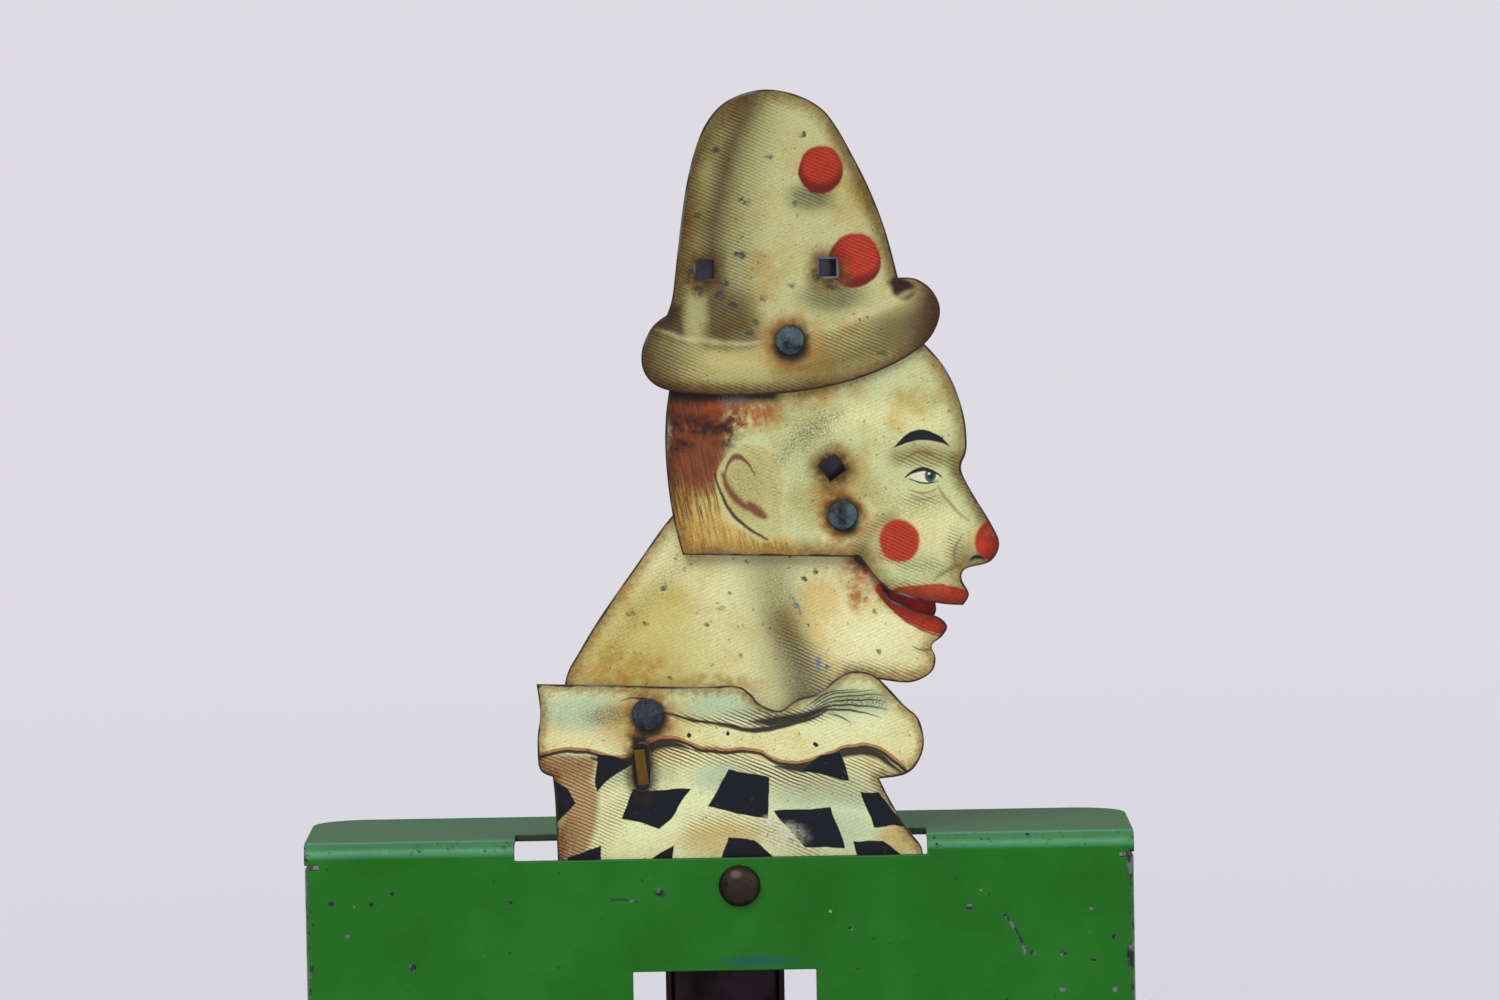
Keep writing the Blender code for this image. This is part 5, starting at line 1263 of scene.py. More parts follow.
RUFF_FOLDS = (
    Ink(LINE, 0.97, (
        Stroke((-6.0, 86.0), (6.6, 84.0), 0.34, -0.85, 0.10, 0.5),
        Stroke((0.0, 84.0), (12.4, 85.5), 0.62, -0.75, 0.14, 0.7),
        Stroke((3.4, 84.7), (12.6, 86.0), 1.25, -0.55, 0.30, 0.9),
        Stroke((-10.6, 87.1), (-5.6, 86.3), 0.20, 0.75, 0.09, 0.6))),
    Ink(LINE, 0.92, (
        Stroke((9.6, 85.0), (17.9, 84.8), 0.26, 0.75, 0.08, 0.8),
        Stroke((10.0, 85.2), (18.8, 85.7), 0.24, 0.75, 0.08, 0.8),
        Stroke((10.4, 85.5), (18.9, 86.5), 0.20, 0.80, 0.07, 0.8),
        Stroke((10.6, 85.8), (18.5, 87.2), 0.18, 0.80, 0.07, 0.8),
        Stroke((10.2, 85.9), (17.4, 87.8), 0.16, 0.75, 0.07, 0.8),
        Stroke((9.4, 85.7), (15.6, 88.1), 0.16, 0.60, 0.07, 0.8),
        Stroke((12.6, 85.3), (14.8, 84.2), 0.16, 0.15, 0.07, 0.7))),
    Ink((44, 38, 32), 0.90, (
        *spots(0.6, (4.2, 84.9, 4.0, 1.0), (9.6, 85.3, 3.2, 0.9)),
        Stroke((-5.0, 85.6), (3.0, 84.6), 1.0, -0.5, 0.5, 0.6)), Touch.HATCHED),
    Ink((64, 52, 38), 0.70, (
        Stroke((11.6, 86.0), (18.0, 86.6), 1.6, 0.4, 0.8),
        Spot((-12.0, 85.6), 2.6, 0.9, 0.7)), Touch.STIPPLED),
    Ink(LINE, 1.0, spots(
        0.2, (-2.9, 83.3, 0.24, 0.24), (1.0, 83.2, 0.22, 0.22), (10.9, 82.1, 0.26, 0.26))),
)

COSTUME_WEAR_AND_SLOT_SHADE = (
    Ink((214, 212, 188), 0.62, spots(
        0.5, (7.2, 71.9, 2.4, 1.4), (5.6, 73.4, 0.9, 1.0)), Touch.RAGGED),
    # Dirt and painted shade round the costume's slot, darkest next to it
    Ink((44, 30, 16), 0.90, (
        Stroke((-8.8, 83.0), (-8.2, 77.0), 2.9, -0.1, 0.9, 0.3),), Touch.RAGGED),
    Ink((24, 18, 14), 0.85, (Stroke((-8.5, 82.4), (-8.3, 77.4), 2.0, 0.0, 0.4, 0.3),)),
)

HAT_PRINT = Print("hat print", (190, 187, 130), HAT_CROWN + HAT_BRIM + HAT_SPOTS + HAT_WEAR)
HEAD_PRINT = Print("head print", (198, 203, 145),
                   SKIN + HAIR_AND_BRIM_SHADOW + EAR + FACE_SHADES + MAKE_UP + FEATURES + HEAD_WEAR_AND_SHADE)
NECK_PRINT = Print("neck print", (220, 216, 158), NECK_SHADES + LOWER_LIP + NECK_WEAR,
                   tan_share=0.55, shade_reach=1.8)
COSTUME_PRINT = Print("costume print", (222, 226, 170),
                      CLOTH_SHADES + HEM_SHADES + CHEQUERS + RUFF_FOLDS + COSTUME_WEAR_AND_SLOT_SHADE,
                      wobble=Drift(0.9, 0.12), bend=Drift(0.17, 1.5), tan_share=0.42,
                      shade_reach=1.5)
MOUTH_PRINT = Print("mouth print", (176, 34, 22), (
    Ink((100, 16, 12), 0.60, (Spot((19.0, 99.5), 4.0, 3.5, 0.6),), Touch.RAGGED),
), tan_share=0.25)


# Other finishes

@dataclass(frozen=True)
class Metal:
    """A bare or blackened metal with grain, stains and specks."""

    name: str
    colour: Colour
    stain: Colour
    stain_share: float
    roughness: float
    metallic: float = 1.0
    relief: float = 0.3
    fineness: float = 1.0
    relief_depth: float = 0.1 * MM

    def build(self) -> bpy.types.Material:
        """Build the material."""
        material, graph, shader = new_material(self.name)
        grain = graph.use(tools.metal_grain, Color=linear(self.colour), Stain=linear(self.stain),
                          Place=graph.vector("SCALE", graph.millimetres(), self.fineness),
                          Stain_Share=self.stain_share, Base_Roughness=self.roughness)
        graph.fill(shader, Base_Color=grain.outputs["Color"],
                   Roughness=grain.outputs["Roughness"], Metallic=self.metallic)
        bumped(graph, shader, grain.outputs["Height"], self.relief, self.relief_depth)
        return material


@dataclass(frozen=True)
class Enamel:
    """The housing's green stoved enamel, with its dust pimples, chips and worn edges.

    Its places are in millimetres. The bend is where the front folds into the top, with a painted
    highlight along it.
    """

    name: str = "green enamel"
    colour: Colour = (12, 97, 5)
    light: Colour = (24, 110, 14)
    primer: Colour = (26, 30, 26)
    # Dust on the top face, also standing in for a painted sheen on that face
    dust: Colour = (74, 92, 78)
    steel: Colour = (112, 110, 118)
    # Colour of the painted highlight along the top bend
    bend_highlight: Colour = (96, 168, 132)
    half_width: float = 45.75
    depth: float = 26.0
    top: float = 72.0
    clouds: Clouds = Clouds(0.07, 3.0, 0.6)
    cloudy: Rise = Rise(0.35, 0.70)
    dots: Dots = Dots(0.42, 0.16, 0.085)
    dots_colour: Colour = (150, 176, 60)
    dots_strength: float = 0.7
    dirt: Dots = Dots(0.55, 0.22, 0.10)
    dirt_offset: Size = (7.0, 3.0, 5.0)
    dirt_strength: float = 0.8
    smear: Spot = Spot((4.0, 58.2), 3.6, 0.55, 0.7)
    smear_colour: Colour = (22, 74, 92)
    smear_strength: float = 0.55
    dust_and_sheen_top: Rise = Rise(-0.7, -0.1)
    dust_strength: float = 0.55
    worn_side: Rise = Rise(-1.5, 0.0)
    worn_front: Rise = Rise(2.6, 0.4)
    worn_back: Rise = Rise(-1.6, -0.2)
    side_wear: float = 0.88
    bend: float = 2.6
    gleam_below: Rise = Rise(0.7, 1.3)
    gleam_above: Rise = Rise(1.8, 1.3)
    least_gleam: float = 0.15
    gleam_strength: float = 0.75
    worn_bend: Rise = Rise(0.0, 1.6)
    bend_wear: float = 0.50
    bared: Clouds = Clouds(0.8, 3.0, 0.6)
    steely: Rise = Rise(0.48, 0.60)
    peel: Clouds = Clouds(1.1)
    peel_height: float = 0.22
    pimples: Dots = Dots(0.75, 0.38, 0.24)
    pimple_height: float = 0.30
    grit: Dots = Dots(1.6, 0.25, 0.25)
    grit_height: float = 0.18
    chip_depth: float = 0.5
    least_roughness: float = 0.27
    clouds_roughness: float = 0.16
    chip_roughness: float = 0.3
    dust_roughness: float = 0.35
    specular: float = 0.28
    relief: float = 0.55
    relief_depth: float = 0.22 * MM
    marks: tuple[Shape, ...] = (
        *spots(0.2, (-34.0, 58.1, 0.42, 0.42), (27.5, 63.8, 0.42, 0.36)),
        Stroke((31.4, 62.8), (33.6, 58.6), 0.30, 0.3, 0.12), Spot((-38.4, 65.2), 0.25, 0.25, 0.3),
        Spot((-6.6, 65.9), 0.5, 0.5, 0.6),
        *spots(0.3, (45.2, 58.0, 0.4, 1.2), (45.3, 68.5, 0.35, 0.8), (34.4, 58.6, 0.35, 0.25),
               (37.8, 58.5, 0.38, 0.28), (43.4, 60.2, 0.25, 0.32), (41.1, 57.8, 0.28, 0.32),
               (40.9, 63.5, 0.22, 0.22), (37.6, 54.5, 0.30, 0.24), (43.4, 54.4, 0.28, 0.28),
               (-42.8, 65.3, 0.32, 0.26), (-41.1, 61.7, 0.22, 0.28), (-36.1, 66.3, 0.26, 0.22),
               (-23.1, 65.1, 0.28, 0.22)),
        Stroke((-12.0, 65.2), (-9.2, 65.0), 0.22, 0.1, 0.2),
        *spots(0.3, (14.4, 61.7, 0.26, 0.22), (26.0, 67.0, 0.20, 0.20)))

    def build(self) -> bpy.types.Material:
        """Build the material."""
        material, graph, shader = new_material(self.name)
        place = graph.millimetres()
        flat = graph.flat(place)
        clouds = self.clouds.over(graph, place)
        colour = graph.mix(self.cloudy.of(graph, clouds), linear(self.colour), linear(self.light))
        dots = self.dots.over(graph, tools.specks, place)
        colour = graph.paint(colour, dots, self.dots_strength, self.dots_colour)
        dirt = self.dirt.over(graph, tools.specks, graph.vector("ADD", place, self.dirt_offset))
        colour = graph.paint(colour, dirt, self.dirt_strength, self.primer)
        smear = self.smear.mask(graph, flat)
        colour = graph.paint(colour, smear, self.smear_strength, self.smear_colour)
        axes = graph.node("ShaderNodeSeparateXYZ")
        graph.fill(axes, Vector=place)
        across, inwards, upwards = axes.outputs
        # Dust and painted sheen: the whole top face is greyed
        upper = self.dust_and_sheen_top.past(self.top).of(graph, upwards)
        colour = graph.paint(colour, upper, self.dust_strength, self.dust)
        side = self.worn_side.past(self.half_width).of(graph, graph.unsigned(across))
        corner = graph.larger(self.worn_front.of(graph, inwards),
                              self.worn_back.past(self.depth).of(graph, inwards))
        bend = graph.minus(graph.minus(upwards, inwards), self.top - self.bend)
        # Painted highlight: a pale band along the top bend, where the bend's gloss reflection would
        # be
        gleam = graph.times(self.gleam_below.of(graph, bend), self.gleam_above.of(graph, bend))
        gleam = graph.times(gleam, graph.plus(self.least_gleam, clouds))
        colour = graph.paint(colour, gleam, self.gleam_strength, self.bend_highlight)
        wear = graph.larger(graph.times(self.worn_bend.of(graph, bend), self.bend_wear),
                            graph.times(graph.times(side, corner), self.side_wear))
        bare = graph.use(tools.chipping, Place=place, Wear=wear).outputs[0]
        for mark in self.marks:
            bare = graph.larger(bare, mark.mask(graph, flat))
        steely = self.steely.of(graph, self.bared.over(graph, place))
        under = graph.mix(steely, linear(self.primer), linear(self.steel))
        rough = graph.tally(self.least_roughness, (clouds, self.clouds_roughness),
                            (bare, self.chip_roughness), (upper, self.dust_roughness))
        graph.fill(shader, Base_Color=graph.mix(bare, colour, under), Roughness=rough,
                   Specular_IOR_Level=self.specular)
        height = graph.tally(
            graph.times(self.peel.over(graph, place), self.peel_height),
            (self.pimples.over(graph, tools.specks, place), self.pimple_height),
            (self.grit.over(graph, tools.specks, place), self.grit_height))
        height = graph.minus(height, graph.times(bare, self.chip_depth))
        bumped(graph, shader, height, self.relief, self.relief_depth)
        return material


class Metals(Enum):
    """The metals of the toy."""

    CUT_EDGE = Metal("cut edge", (96, 92, 98), (50, 40, 36), 0.80, 0.42, 0.9)
    PAINTED_EDGE = Metal("painted edge", (44, 66, 44), (24, 26, 24), 0.70, 0.45, 0.4)
    # Dark tin: painted shade in holes and behind the costume's slot; also the mouth rivet's own
    # dark colour
    DARK_TIN = Metal("dark tin", (62, 60, 64), (26, 22, 22), 0.80, 0.30, 0.9, 0.6)
    BACK_TIN = Metal("back of the tin", (158, 152, 132), (112, 86, 48), 0.70, 0.36, 0.85)
    TINPLATE = Metal("tinplate", (172, 172, 170), (112, 98, 82), 0.45, 0.30)
    BRIGHT_STEEL = Metal("bright steel", (176, 176, 180), (96, 84, 74), 0.45, 0.26)
    BLUED_STEEL = Metal("blued steel", (40, 28, 34), (20, 12, 14), 0.80, 0.34, 0.8)
    RIVET_STEEL = Metal("rivet steel", (66, 86, 94), (14, 14, 16), 0.97, 0.30, 0.5, 1.0, 2.4,
                        0.4 * MM)
    SOOTED_STEEL = Metal("sooted steel", (50, 58, 70), (12, 12, 14), 0.95, 0.38, 0.5, 1.0, 3.2,
                         0.6 * MM)
    BRASS = Metal("stamped brass", (196, 156, 82), (106, 74, 34), 0.55, 0.28)
    LINK_BRASS = Metal("link brass", (112, 84, 34), (34, 22, 12), 0.90, 0.36)
    OLD_BRONZE = Metal("old bronze", (54, 48, 42), (28, 24, 22), 0.80, 0.32, 0.95, 0.8, 2.0)


# Meshes

def merged_copy(node: str) -> bmesh.types.BMesh:
    """Return a CAD node's mesh, in its place, with its triangles joined into whole faces."""
    mesh = bmesh.new()
    mesh.from_mesh(frame["nodes"][node].data)
    bmesh.ops.remove_doubles(mesh, verts=mesh.verts[:], dist=WELD)
    bmesh.ops.dissolve_limit(mesh, angle_limit=FLAT, verts=mesh.verts[:], edges=mesh.edges[:])
    return mesh


def body_of(node: str) -> str:
    """Return the body that a CAD node belongs to."""
    bodies = frame["record"]["behaviour"]["bodies"]
    return next(body for body, nodes in bodies.items() if node in nodes)


def placed(name: str, data: bpy.types.ID) -> bpy.types.Object:
    """Put a mesh, a light or a camera into the scene.

    Args:
        name: The object's name.
        data: What it shows.

    Returns:
        The object.
    """
    made = bpy.data.objects.new(name, data)
    bpy.context.collection.objects.link(made)
    return made


def add_piece(name: str, mesh: bmesh.types.BMesh, materials: Sequence[bpy.types.Material],
              node: str, sharp: float = 38.0) -> bpy.types.Object:
    """Turn a mesh into a piece that stands for a CAD node and rides on its body.

    Args:
        name: The piece's name.
        mesh: Its mesh, in its place.
        materials: Its materials, in the order of the faces' indices.
        node: The node that it stands for.
        sharp: The angle in degrees from which an edge is shaded sharp.

    Returns:
        The piece.
    """
    data = bpy.data.meshes.new(name)
    mesh.to_mesh(data)
    mesh.free()
    for material in materials:
        data.materials.append(material)
    data.shade_smooth()
    data.set_sharp_from_angle(angle=math.radians(sharp))
    piece = placed(name, data)
    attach(piece, body_of(node))
    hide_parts(node)
    log.info("%s: %d faces, on %s", name, len(data.polygons), body_of(node))
    return piece


@dataclass(frozen=True)
class SoftEdges:
    """A small rounding of a piece's sharp edges, with evened shading."""

    width: float
    segments: int = 2
    sharp: float = math.radians(50)
    face_weight: int = 80

    def add_to(self, piece: bpy.types.Object) -> None:
        """Soften a piece."""
        bevel = piece.modifiers.new("soft edges", "BEVEL")
        bevel.width = self.width
        bevel.segments = self.segments
        bevel.limit_method = "ANGLE"
        bevel.angle_limit = self.sharp
        bevel.harden_normals = False
        even = piece.modifiers.new("even shading", "WEIGHTED_NORMAL")
        even.keep_sharp = True
        even.weight = self.face_weight


@dataclass(frozen=True)
class Outline:
    """A closed outline in X and Z, whose gentle bends can be made smooth."""

    points: tuple[Point, ...]
    corner: float = math.radians(42)
    press: float = 5.0 * MM

    def smoothed(self, steps: int) -> list[Point]:
        """Thread a smooth curve through the points, which keeps the sharp corners.

        Args:
            steps: How many pieces each side becomes.

        Returns:
            The finer outline.
        """
        count = len(self.points)
        places = [Vector(point) for point in self.points]
        sides = [(places[(index + 1) % count] - places[index]) for index in range(count)]
        finer = []
        for index, side in enumerate(sides):
            before = sides[index - 1]
            after = sides[(index + 1) % count]
            leave = side.normalized()
            arrive = side.normalized()
            if before.angle(side) < self.corner:
                leave = (before.normalized() + leave).normalized()
            if side.angle(after) < self.corner:
                arrive = (after.normalized() + arrive).normalized()
            leave *= side.length
            arrive *= side.length
            start = places[index]
            end = places[(index + 1) % count]
            for step in range(steps):
                part = step / steps
                blend = (start * (2 * part ** 3 - 3 * part ** 2 + 1)
                         + leave * (part ** 3 - 2 * part ** 2 + part)
                         + end * (3 * part ** 2 - 2 * part ** 3)
                         + arrive * (part ** 3 - part ** 2))
                finer.append((blend.x, blend.y))
        return self.kept_inside(finer)

    def kept_inside(self, finer: list[Point]) -> list[Point]:
        """Press a finer outline's ends back to the reach of its own points."""
        columns = []
        for ours, given in zip(zip(*finer), zip(*self.points)):
            column = list(ours)
            for sign, end in ((1, max(given)), (-1, -min(given))):
                start = end - self.press
                over = max(sign * value for value in column) - end
                share = self.press / (self.press + max(over, 0.0))
                column = [sign * (start + (sign * value - start) * share)
                          if sign * value > start else value for value in column]
            columns.append(column)
        return list(zip(*columns))


def is_front(face: bmesh.types.BMFace, front: float) -> bool:
    """Tell whether a face lies in the front of a plate, at the Y that is given."""
    return (face.normal.y <= FACES_FRONT
            and abs(face.calc_center_median().y - front) <= WELD * 5)


def front_outlines(mesh: bmesh.types.BMesh, front: float) -> list[Outline]:
    """Trace the rims of a plate's front face: its outside and its holes.

    Args:
        mesh: The plate's merged mesh.
        front: The front face's Y.

    Returns:
        The rims, in the order that the faces' edges run.
    """
    rim = {}
    for face in mesh.faces:
        if not is_front(face, front):
            continue
        for loop in face.loops:
            if not is_front(loop.link_loop_radial_next.face, front):
                rim[loop.vert.index] = loop.link_loop_next.vert.index
    mesh.verts.ensure_lookup_table()
    outlines = []
    while rim:
        first = next(iter(rim))
        chain = [first]
        following = rim.pop(first)
        while following != first:
            chain.append(following)
            following = rim.pop(following)
        outlines.append(Outline(tuple((mesh.verts[index].co.x, mesh.verts[index].co.z)
                                      for index in chain)))
    return outlines


def reach_of(points: Sequence[Point]) -> tuple[float, float, float, float]:
    """Return the least and the greatest X, and the least and the greatest Z, of an outline."""
    across, upwards = zip(*points)
    return min(across), max(across), min(upwards), max(upwards)


def add_block(mesh: bmesh.types.BMesh, place: Matrix, size: Size, material: int) -> None:
    """Add a block to a mesh.

    Args:
        mesh: The mesh.
        place: The block's place and turn.
        size: Its size.
        material: The index of its material.
    """
    made = bmesh.ops.create_cube(mesh, size=1, matrix=place @ Matrix.Diagonal((*size, 1)))
    for vert in made["verts"]:
        for face in vert.link_faces:
            face.material_index = material


class PlateSlot(IntEnum):
    """The order of a printed plate's materials."""

    PRINT = 0
    CUT_EDGE = 1
    BACK = 2
    # Hole walls, lance tabs and their curls: dark tin as painted shade of the holes
    DARK = 3


@dataclass(frozen=True)
class Lance:
    """A square hole cut on three sides, with its tab bent back, in metres.

    Its flap is the curl of sheet that darkens the hole; it and the tab are dark tin, painted shade;
    tuck moves it forwards.
    """

    side: float
    width: float
    thickness: float
    depth: float
    flap: float = 0.0
    flap_sheet: float = 0.2 * MM
    flap_share: float = 1.12
    tuck: float = 0.0

    def add(self, mesh: bmesh.types.BMesh, hole: Outline, front: float, sheet: float) -> None:
        """Add the tab, and the curl of sheet in the hole, to the plate's mesh.

        Args:
            mesh: The plate's mesh.
            hole: The hole's outline.
            front: The front face's Y.
            sheet: The plate's thickness.
        """
        corners = [Vector(point) for point in hole.points]
        middle = sum(corners, Vector((0, 0))) / len(corners)
        size = (corners[1] - corners[0]).length
        outwards = Vector((math.cos(self.side), math.sin(self.side)))
        seat = middle + outwards * (size + self.thickness) / 2
        root = front + sheet / 2
        turn = Matrix.Rotation(-self.side, 4, "Y")
        place = Matrix.Translation((seat.x, (root + front + self.depth) / 2, seat.y))
        add_block(mesh, place @ turn, (self.thickness, front + self.depth - root, self.width),
                  PlateSlot.DARK)
        if self.flap:
            lean = Matrix.Rotation(-math.atan2(self.flap, size), 4, "Z")
            depth = front + sheet + self.flap / 2 - self.tuck
            place = Matrix.Translation((middle.x, depth, middle.y))
            span = math.hypot(self.flap, size) * self.flap_share
            add_block(mesh, place @ turn @ lean,
                      (span, self.flap_sheet, size * self.flap_share), PlateSlot.DARK)


@dataclass(frozen=True)
class PrintedPlate:
    """A flat printed plate, with a fine outline, a dark worn rim and bare cut edges."""

    node: str
    print: Print
    lances: tuple[Lance, ...] = ()
    steps: int = 4
    rim: float = 0.30 * MM
    grid: float = 1.1 * MM
    sample: float = 0.1 * MM
    softening: float = 0.05 * MM
    thinnest: float = 0.2 * MM

    def build(self) -> bpy.types.Object:
        """Build the plate over its CAD node.

        Returns:
            The piece.
        """
        low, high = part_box(self.node)
        front = low[1]
        source = merged_copy(self.node)
        outlines = front_outlines(source, front)
        back = min(vert.co.y for vert in source.verts if vert.co.y > front + self.thinnest
                   and len(vert.link_edges) > 2)
        source.free()
        mesh = bmesh.new()
        mesh.verts.layers.float.new(EDGE_DISTANCE)
        finer = [outline.smoothed(self.steps) for outline in outlines]
        inner_edges = []
        for points in finer:
            inner_edges += self.add_rim(mesh, points, front)
        bmesh.ops.triangle_fill(mesh, use_beauty=True, use_dissolve=False, edges=inner_edges,
                                normal=(0, -1, 0))
        for face in mesh.faces:
            if face.normal.y > 0:
                face.normal_flip()
        self.cut_grid(mesh, low, high)
        self.note_distances(mesh, finer, front)
        mesh.normal_update()
        self.thicken(mesh, back - front, finer)
        holes = sorted((outline for outline in outlines if len(outline.points) == 4),
                       key=lambda outline: outline.points[0])
        for lance, hole in zip(self.lances, holes):
            lance.add(mesh, hole, front, back - front)
        materials = (self.print.build(), finishes[Metals.CUT_EDGE], finishes[Metals.BACK_TIN],
                     finishes[Metals.DARK_TIN])
        return add_piece(f"{self.node}_printed", mesh, materials, self.node)

    def add_rim(self, mesh: bmesh.types.BMesh, points: list[Point],
                front: float) -> list[bmesh.types.BMEdge]:
        """Add a narrow band along one outline.

        Args:
            mesh: The plate's mesh.
            points: The outline, with the plate on its left.
            front: The front face's Y.

        Returns:
            The band's inner edges.
        """
        outer = [mesh.verts.new((x, front, z)) for x, z in points]
        edges = [mesh.edges.new(pair) for pair in zip(outer, outer[1:] + outer[:1])]
        made = bmesh.ops.extrude_edge_only(mesh, edges=edges)["geom"]
        inner = [part for part in made if isinstance(part, bmesh.types.BMVert)]
        nearest = {tuple(vert.co): index for index, vert in enumerate(outer)}
        for vert in inner:
            index = nearest[tuple(vert.co)]
            before = outer[index - 1].co
            after = outer[(index + 1) % len(outer)].co
            vert.co += (after - before).normalized().cross(Vector((0, 1, 0))) * self.rim
        return [part for part in made if isinstance(part, bmesh.types.BMEdge)
                and part.verts[0] in inner and part.verts[1] in inner]

    def cut_grid(self, mesh: bmesh.types.BMesh, low: Sequence[float],
                 high: Sequence[float]) -> None:
        """Cut the front into small fields, which can hold the distances to the edge.

        Args:
            mesh: The plate's mesh.
            low: The node's lowest corner.
            high: The node's highest corner.
        """
        for axis, along in ((0, Vector((1, 0, 0))), (2, Vector((0, 0, 1)))):
            for step in range(1, int((high[axis] - low[axis]) / self.grid)):
                bmesh.ops.bisect_plane(mesh, geom=mesh.verts[:] + mesh.edges[:] + mesh.faces[:],
                                       dist=WELD, plane_co=along * (low[axis] + step * self.grid),
                                       plane_no=along)

    def note_distances(self, mesh: bmesh.types.BMesh, outlines: list[list[Point]],
                       front: float) -> None:
        """Note how far every point of the front is from the nearest edge, in millimetres.

        Args:
            mesh: The plate's mesh.
            outlines: The outlines.
            front: The front face's Y.
        """
        samples = []
        for points in outlines:
            for start, end in zip(points, points[1:] + points[:1]):
                steps = max(1, math.ceil(math.dist(start, end) / self.sample))
                samples += [(start[0] + (end[0] - start[0]) * step / steps, front,
                             start[1] + (end[1] - start[1]) * step / steps)
                            for step in range(steps)]
        tree = kdtree.KDTree(len(samples))
        for index, sample in enumerate(samples):
            tree.insert(sample, index)
        tree.balance()
        layer = mesh.verts.layers.float[EDGE_DISTANCE]
        for vert in mesh.verts:
            vert[layer] = tree.find(vert.co)[2] / MM

    def thicken(self, mesh: bmesh.types.BMesh, thickness: float,
                outlines: list[list[Point]]) -> None:
        """Give the flat front its sides and its back, and round its front edge.

        Args:
            mesh: The plate's mesh.
            thickness: The sheet's thickness.
            outlines: The outlines, of which all but the widest are holes.
        """
        rims = sorted((reach_of(points) for points in outlines), key=lambda rim: rim[1] - rim[0])
        faces = mesh.faces[:]
        lifted = bmesh.ops.extrude_face_region(mesh, geom=faces, use_keep_orig=True)["geom"]
        moved = [part for part in lifted if isinstance(part, bmesh.types.BMVert)]
        backs = {part for part in lifted if isinstance(part, bmesh.types.BMFace)}
        bmesh.ops.translate(mesh, verts=moved, vec=(0, thickness, 0))
        fronts = set(faces)
        for face in backs:
            face.material_index = PlateSlot.BACK
            if face.normal.y < 0:
                face.normal_flip()
        for face in mesh.faces:
            if face not in fronts and face not in backs:
                middle = face.calc_center_median()
                in_hole = any(left - WELD < middle.x < right + WELD
                              and low - WELD < middle.z < high + WELD
                              for left, right, low, high in rims[:-1])
                # Painted shade: hole walls take the dark tin, while outer cut edges stay bright
                face.material_index = PlateSlot.DARK if in_hole else PlateSlot.CUT_EDGE
        edges = [edge for edge in mesh.edges
                 if len({face in fronts for face in edge.link_faces}) == 2]
        bmesh.ops.bevel(mesh, geom=edges, offset=self.softening, segments=2, profile=0.5,
                        affect="EDGES", material=-1)
        bmesh.ops.recalc_face_normals(mesh, faces=mesh.faces[:])


@dataclass(frozen=True)
class HammeredRivet:
    """A domed rivet with the flats of a hand hammer on its head, over its CAD node."""

    node: str
    metal: Metals
    blows: int = 9
    depth: float = 0.62
    segments: int = 56
    rings: int = 14
    grit: float = 0.05 * MM
    sharp: float = 13.0
    grains: float = 6
    rim_share: float = 0.97
    shank_share: float = 0.5
    lean: tuple[float, float] = (0.15, 0.95)
    blow: tuple[float, float] = (0.3, 1.0)

    def build(self) -> bpy.types.Object:
        """Build the rivet.

        Returns:
            The piece.
        """
        low, high = (Vector(corner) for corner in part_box(self.node))
        middle = (low + high) / 2
        radius = (high.x - low.x) / 2
        rim = radius * self.rim_share
        source = merged_copy(self.node)
        seat = max(vert.co.y for vert in source.verts
                   if math.hypot(vert.co.x - middle.x, vert.co.z - middle.z) > rim)
        source.free()
        rise = seat - low.y
        shank = radius * self.shank_share
        profile = [(0.0, low.y)]
        for ring in range(1, self.rings + 1):
            turn = math.pi / 2 * ring / self.rings
            profile.append((radius * math.sin(turn), seat - rise * math.cos(turn)))
        profile += [(shank, seat), (shank, high.y), (0.0, high.y)]
        mesh = bmesh.new()
        corners = [mesh.verts.new((across, depth, 0)) for across, depth in profile]
        edges = [mesh.edges.new(pair) for pair in zip(corners, corners[1:])]
        bmesh.ops.spin(mesh, geom=corners + edges, cent=(0, 0, 0), axis=(0, 1, 0), angle=math.tau,
                       steps=self.segments, use_merge=True)
        bmesh.ops.remove_doubles(mesh, verts=mesh.verts[:], dist=WELD)
        self.hammer(mesh, radius, rise, seat)
        bmesh.ops.translate(mesh, verts=mesh.verts[:], vec=(middle.x, 0, middle.z))
        bmesh.ops.recalc_face_normals(mesh, faces=mesh.faces[:])
        return add_piece(f"{self.node}_hammered", mesh, (finishes[self.metal],), self.node,
                         self.sharp)

    def hammer(self, mesh: bmesh.types.BMesh, radius: float, rise: float, seat: float) -> None:
        """Flatten the dome where the hammer's blows fell, and roughen it.

        Args:
            mesh: The rivet's mesh, centred on its axis.
            radius: The head's radius.
            rise: The dome's height.
            seat: The Y of the dome's foot.
        """
        chance = random.Random(self.node)
        blows = []
        for _ in range(self.blows):
            around = chance.uniform(0, math.tau)
            lean = chance.uniform(*self.lean)
            facing = Vector((math.sin(lean) * math.cos(around), -math.cos(lean),
                             math.sin(lean) * math.sin(around)))
            blows.append((facing, 1 - self.depth * chance.uniform(*self.blow) * math.cos(lean)))
        for vert in mesh.verts:
            if vert.co.y > seat - WELD:
                continue
            ball = Vector((vert.co.x / radius, (vert.co.y - seat) / rise, vert.co.z / radius))
            for facing, reach in blows:
                beyond = ball.dot(facing) - reach
                if beyond > 0:
                    ball -= facing * beyond
            rough = self.grit * noise.noise(ball * self.grains) / rise
            ball *= 1 - abs(rough)
            vert.co = Vector((ball.x * radius, seat + ball.y * rise, ball.z * radius))


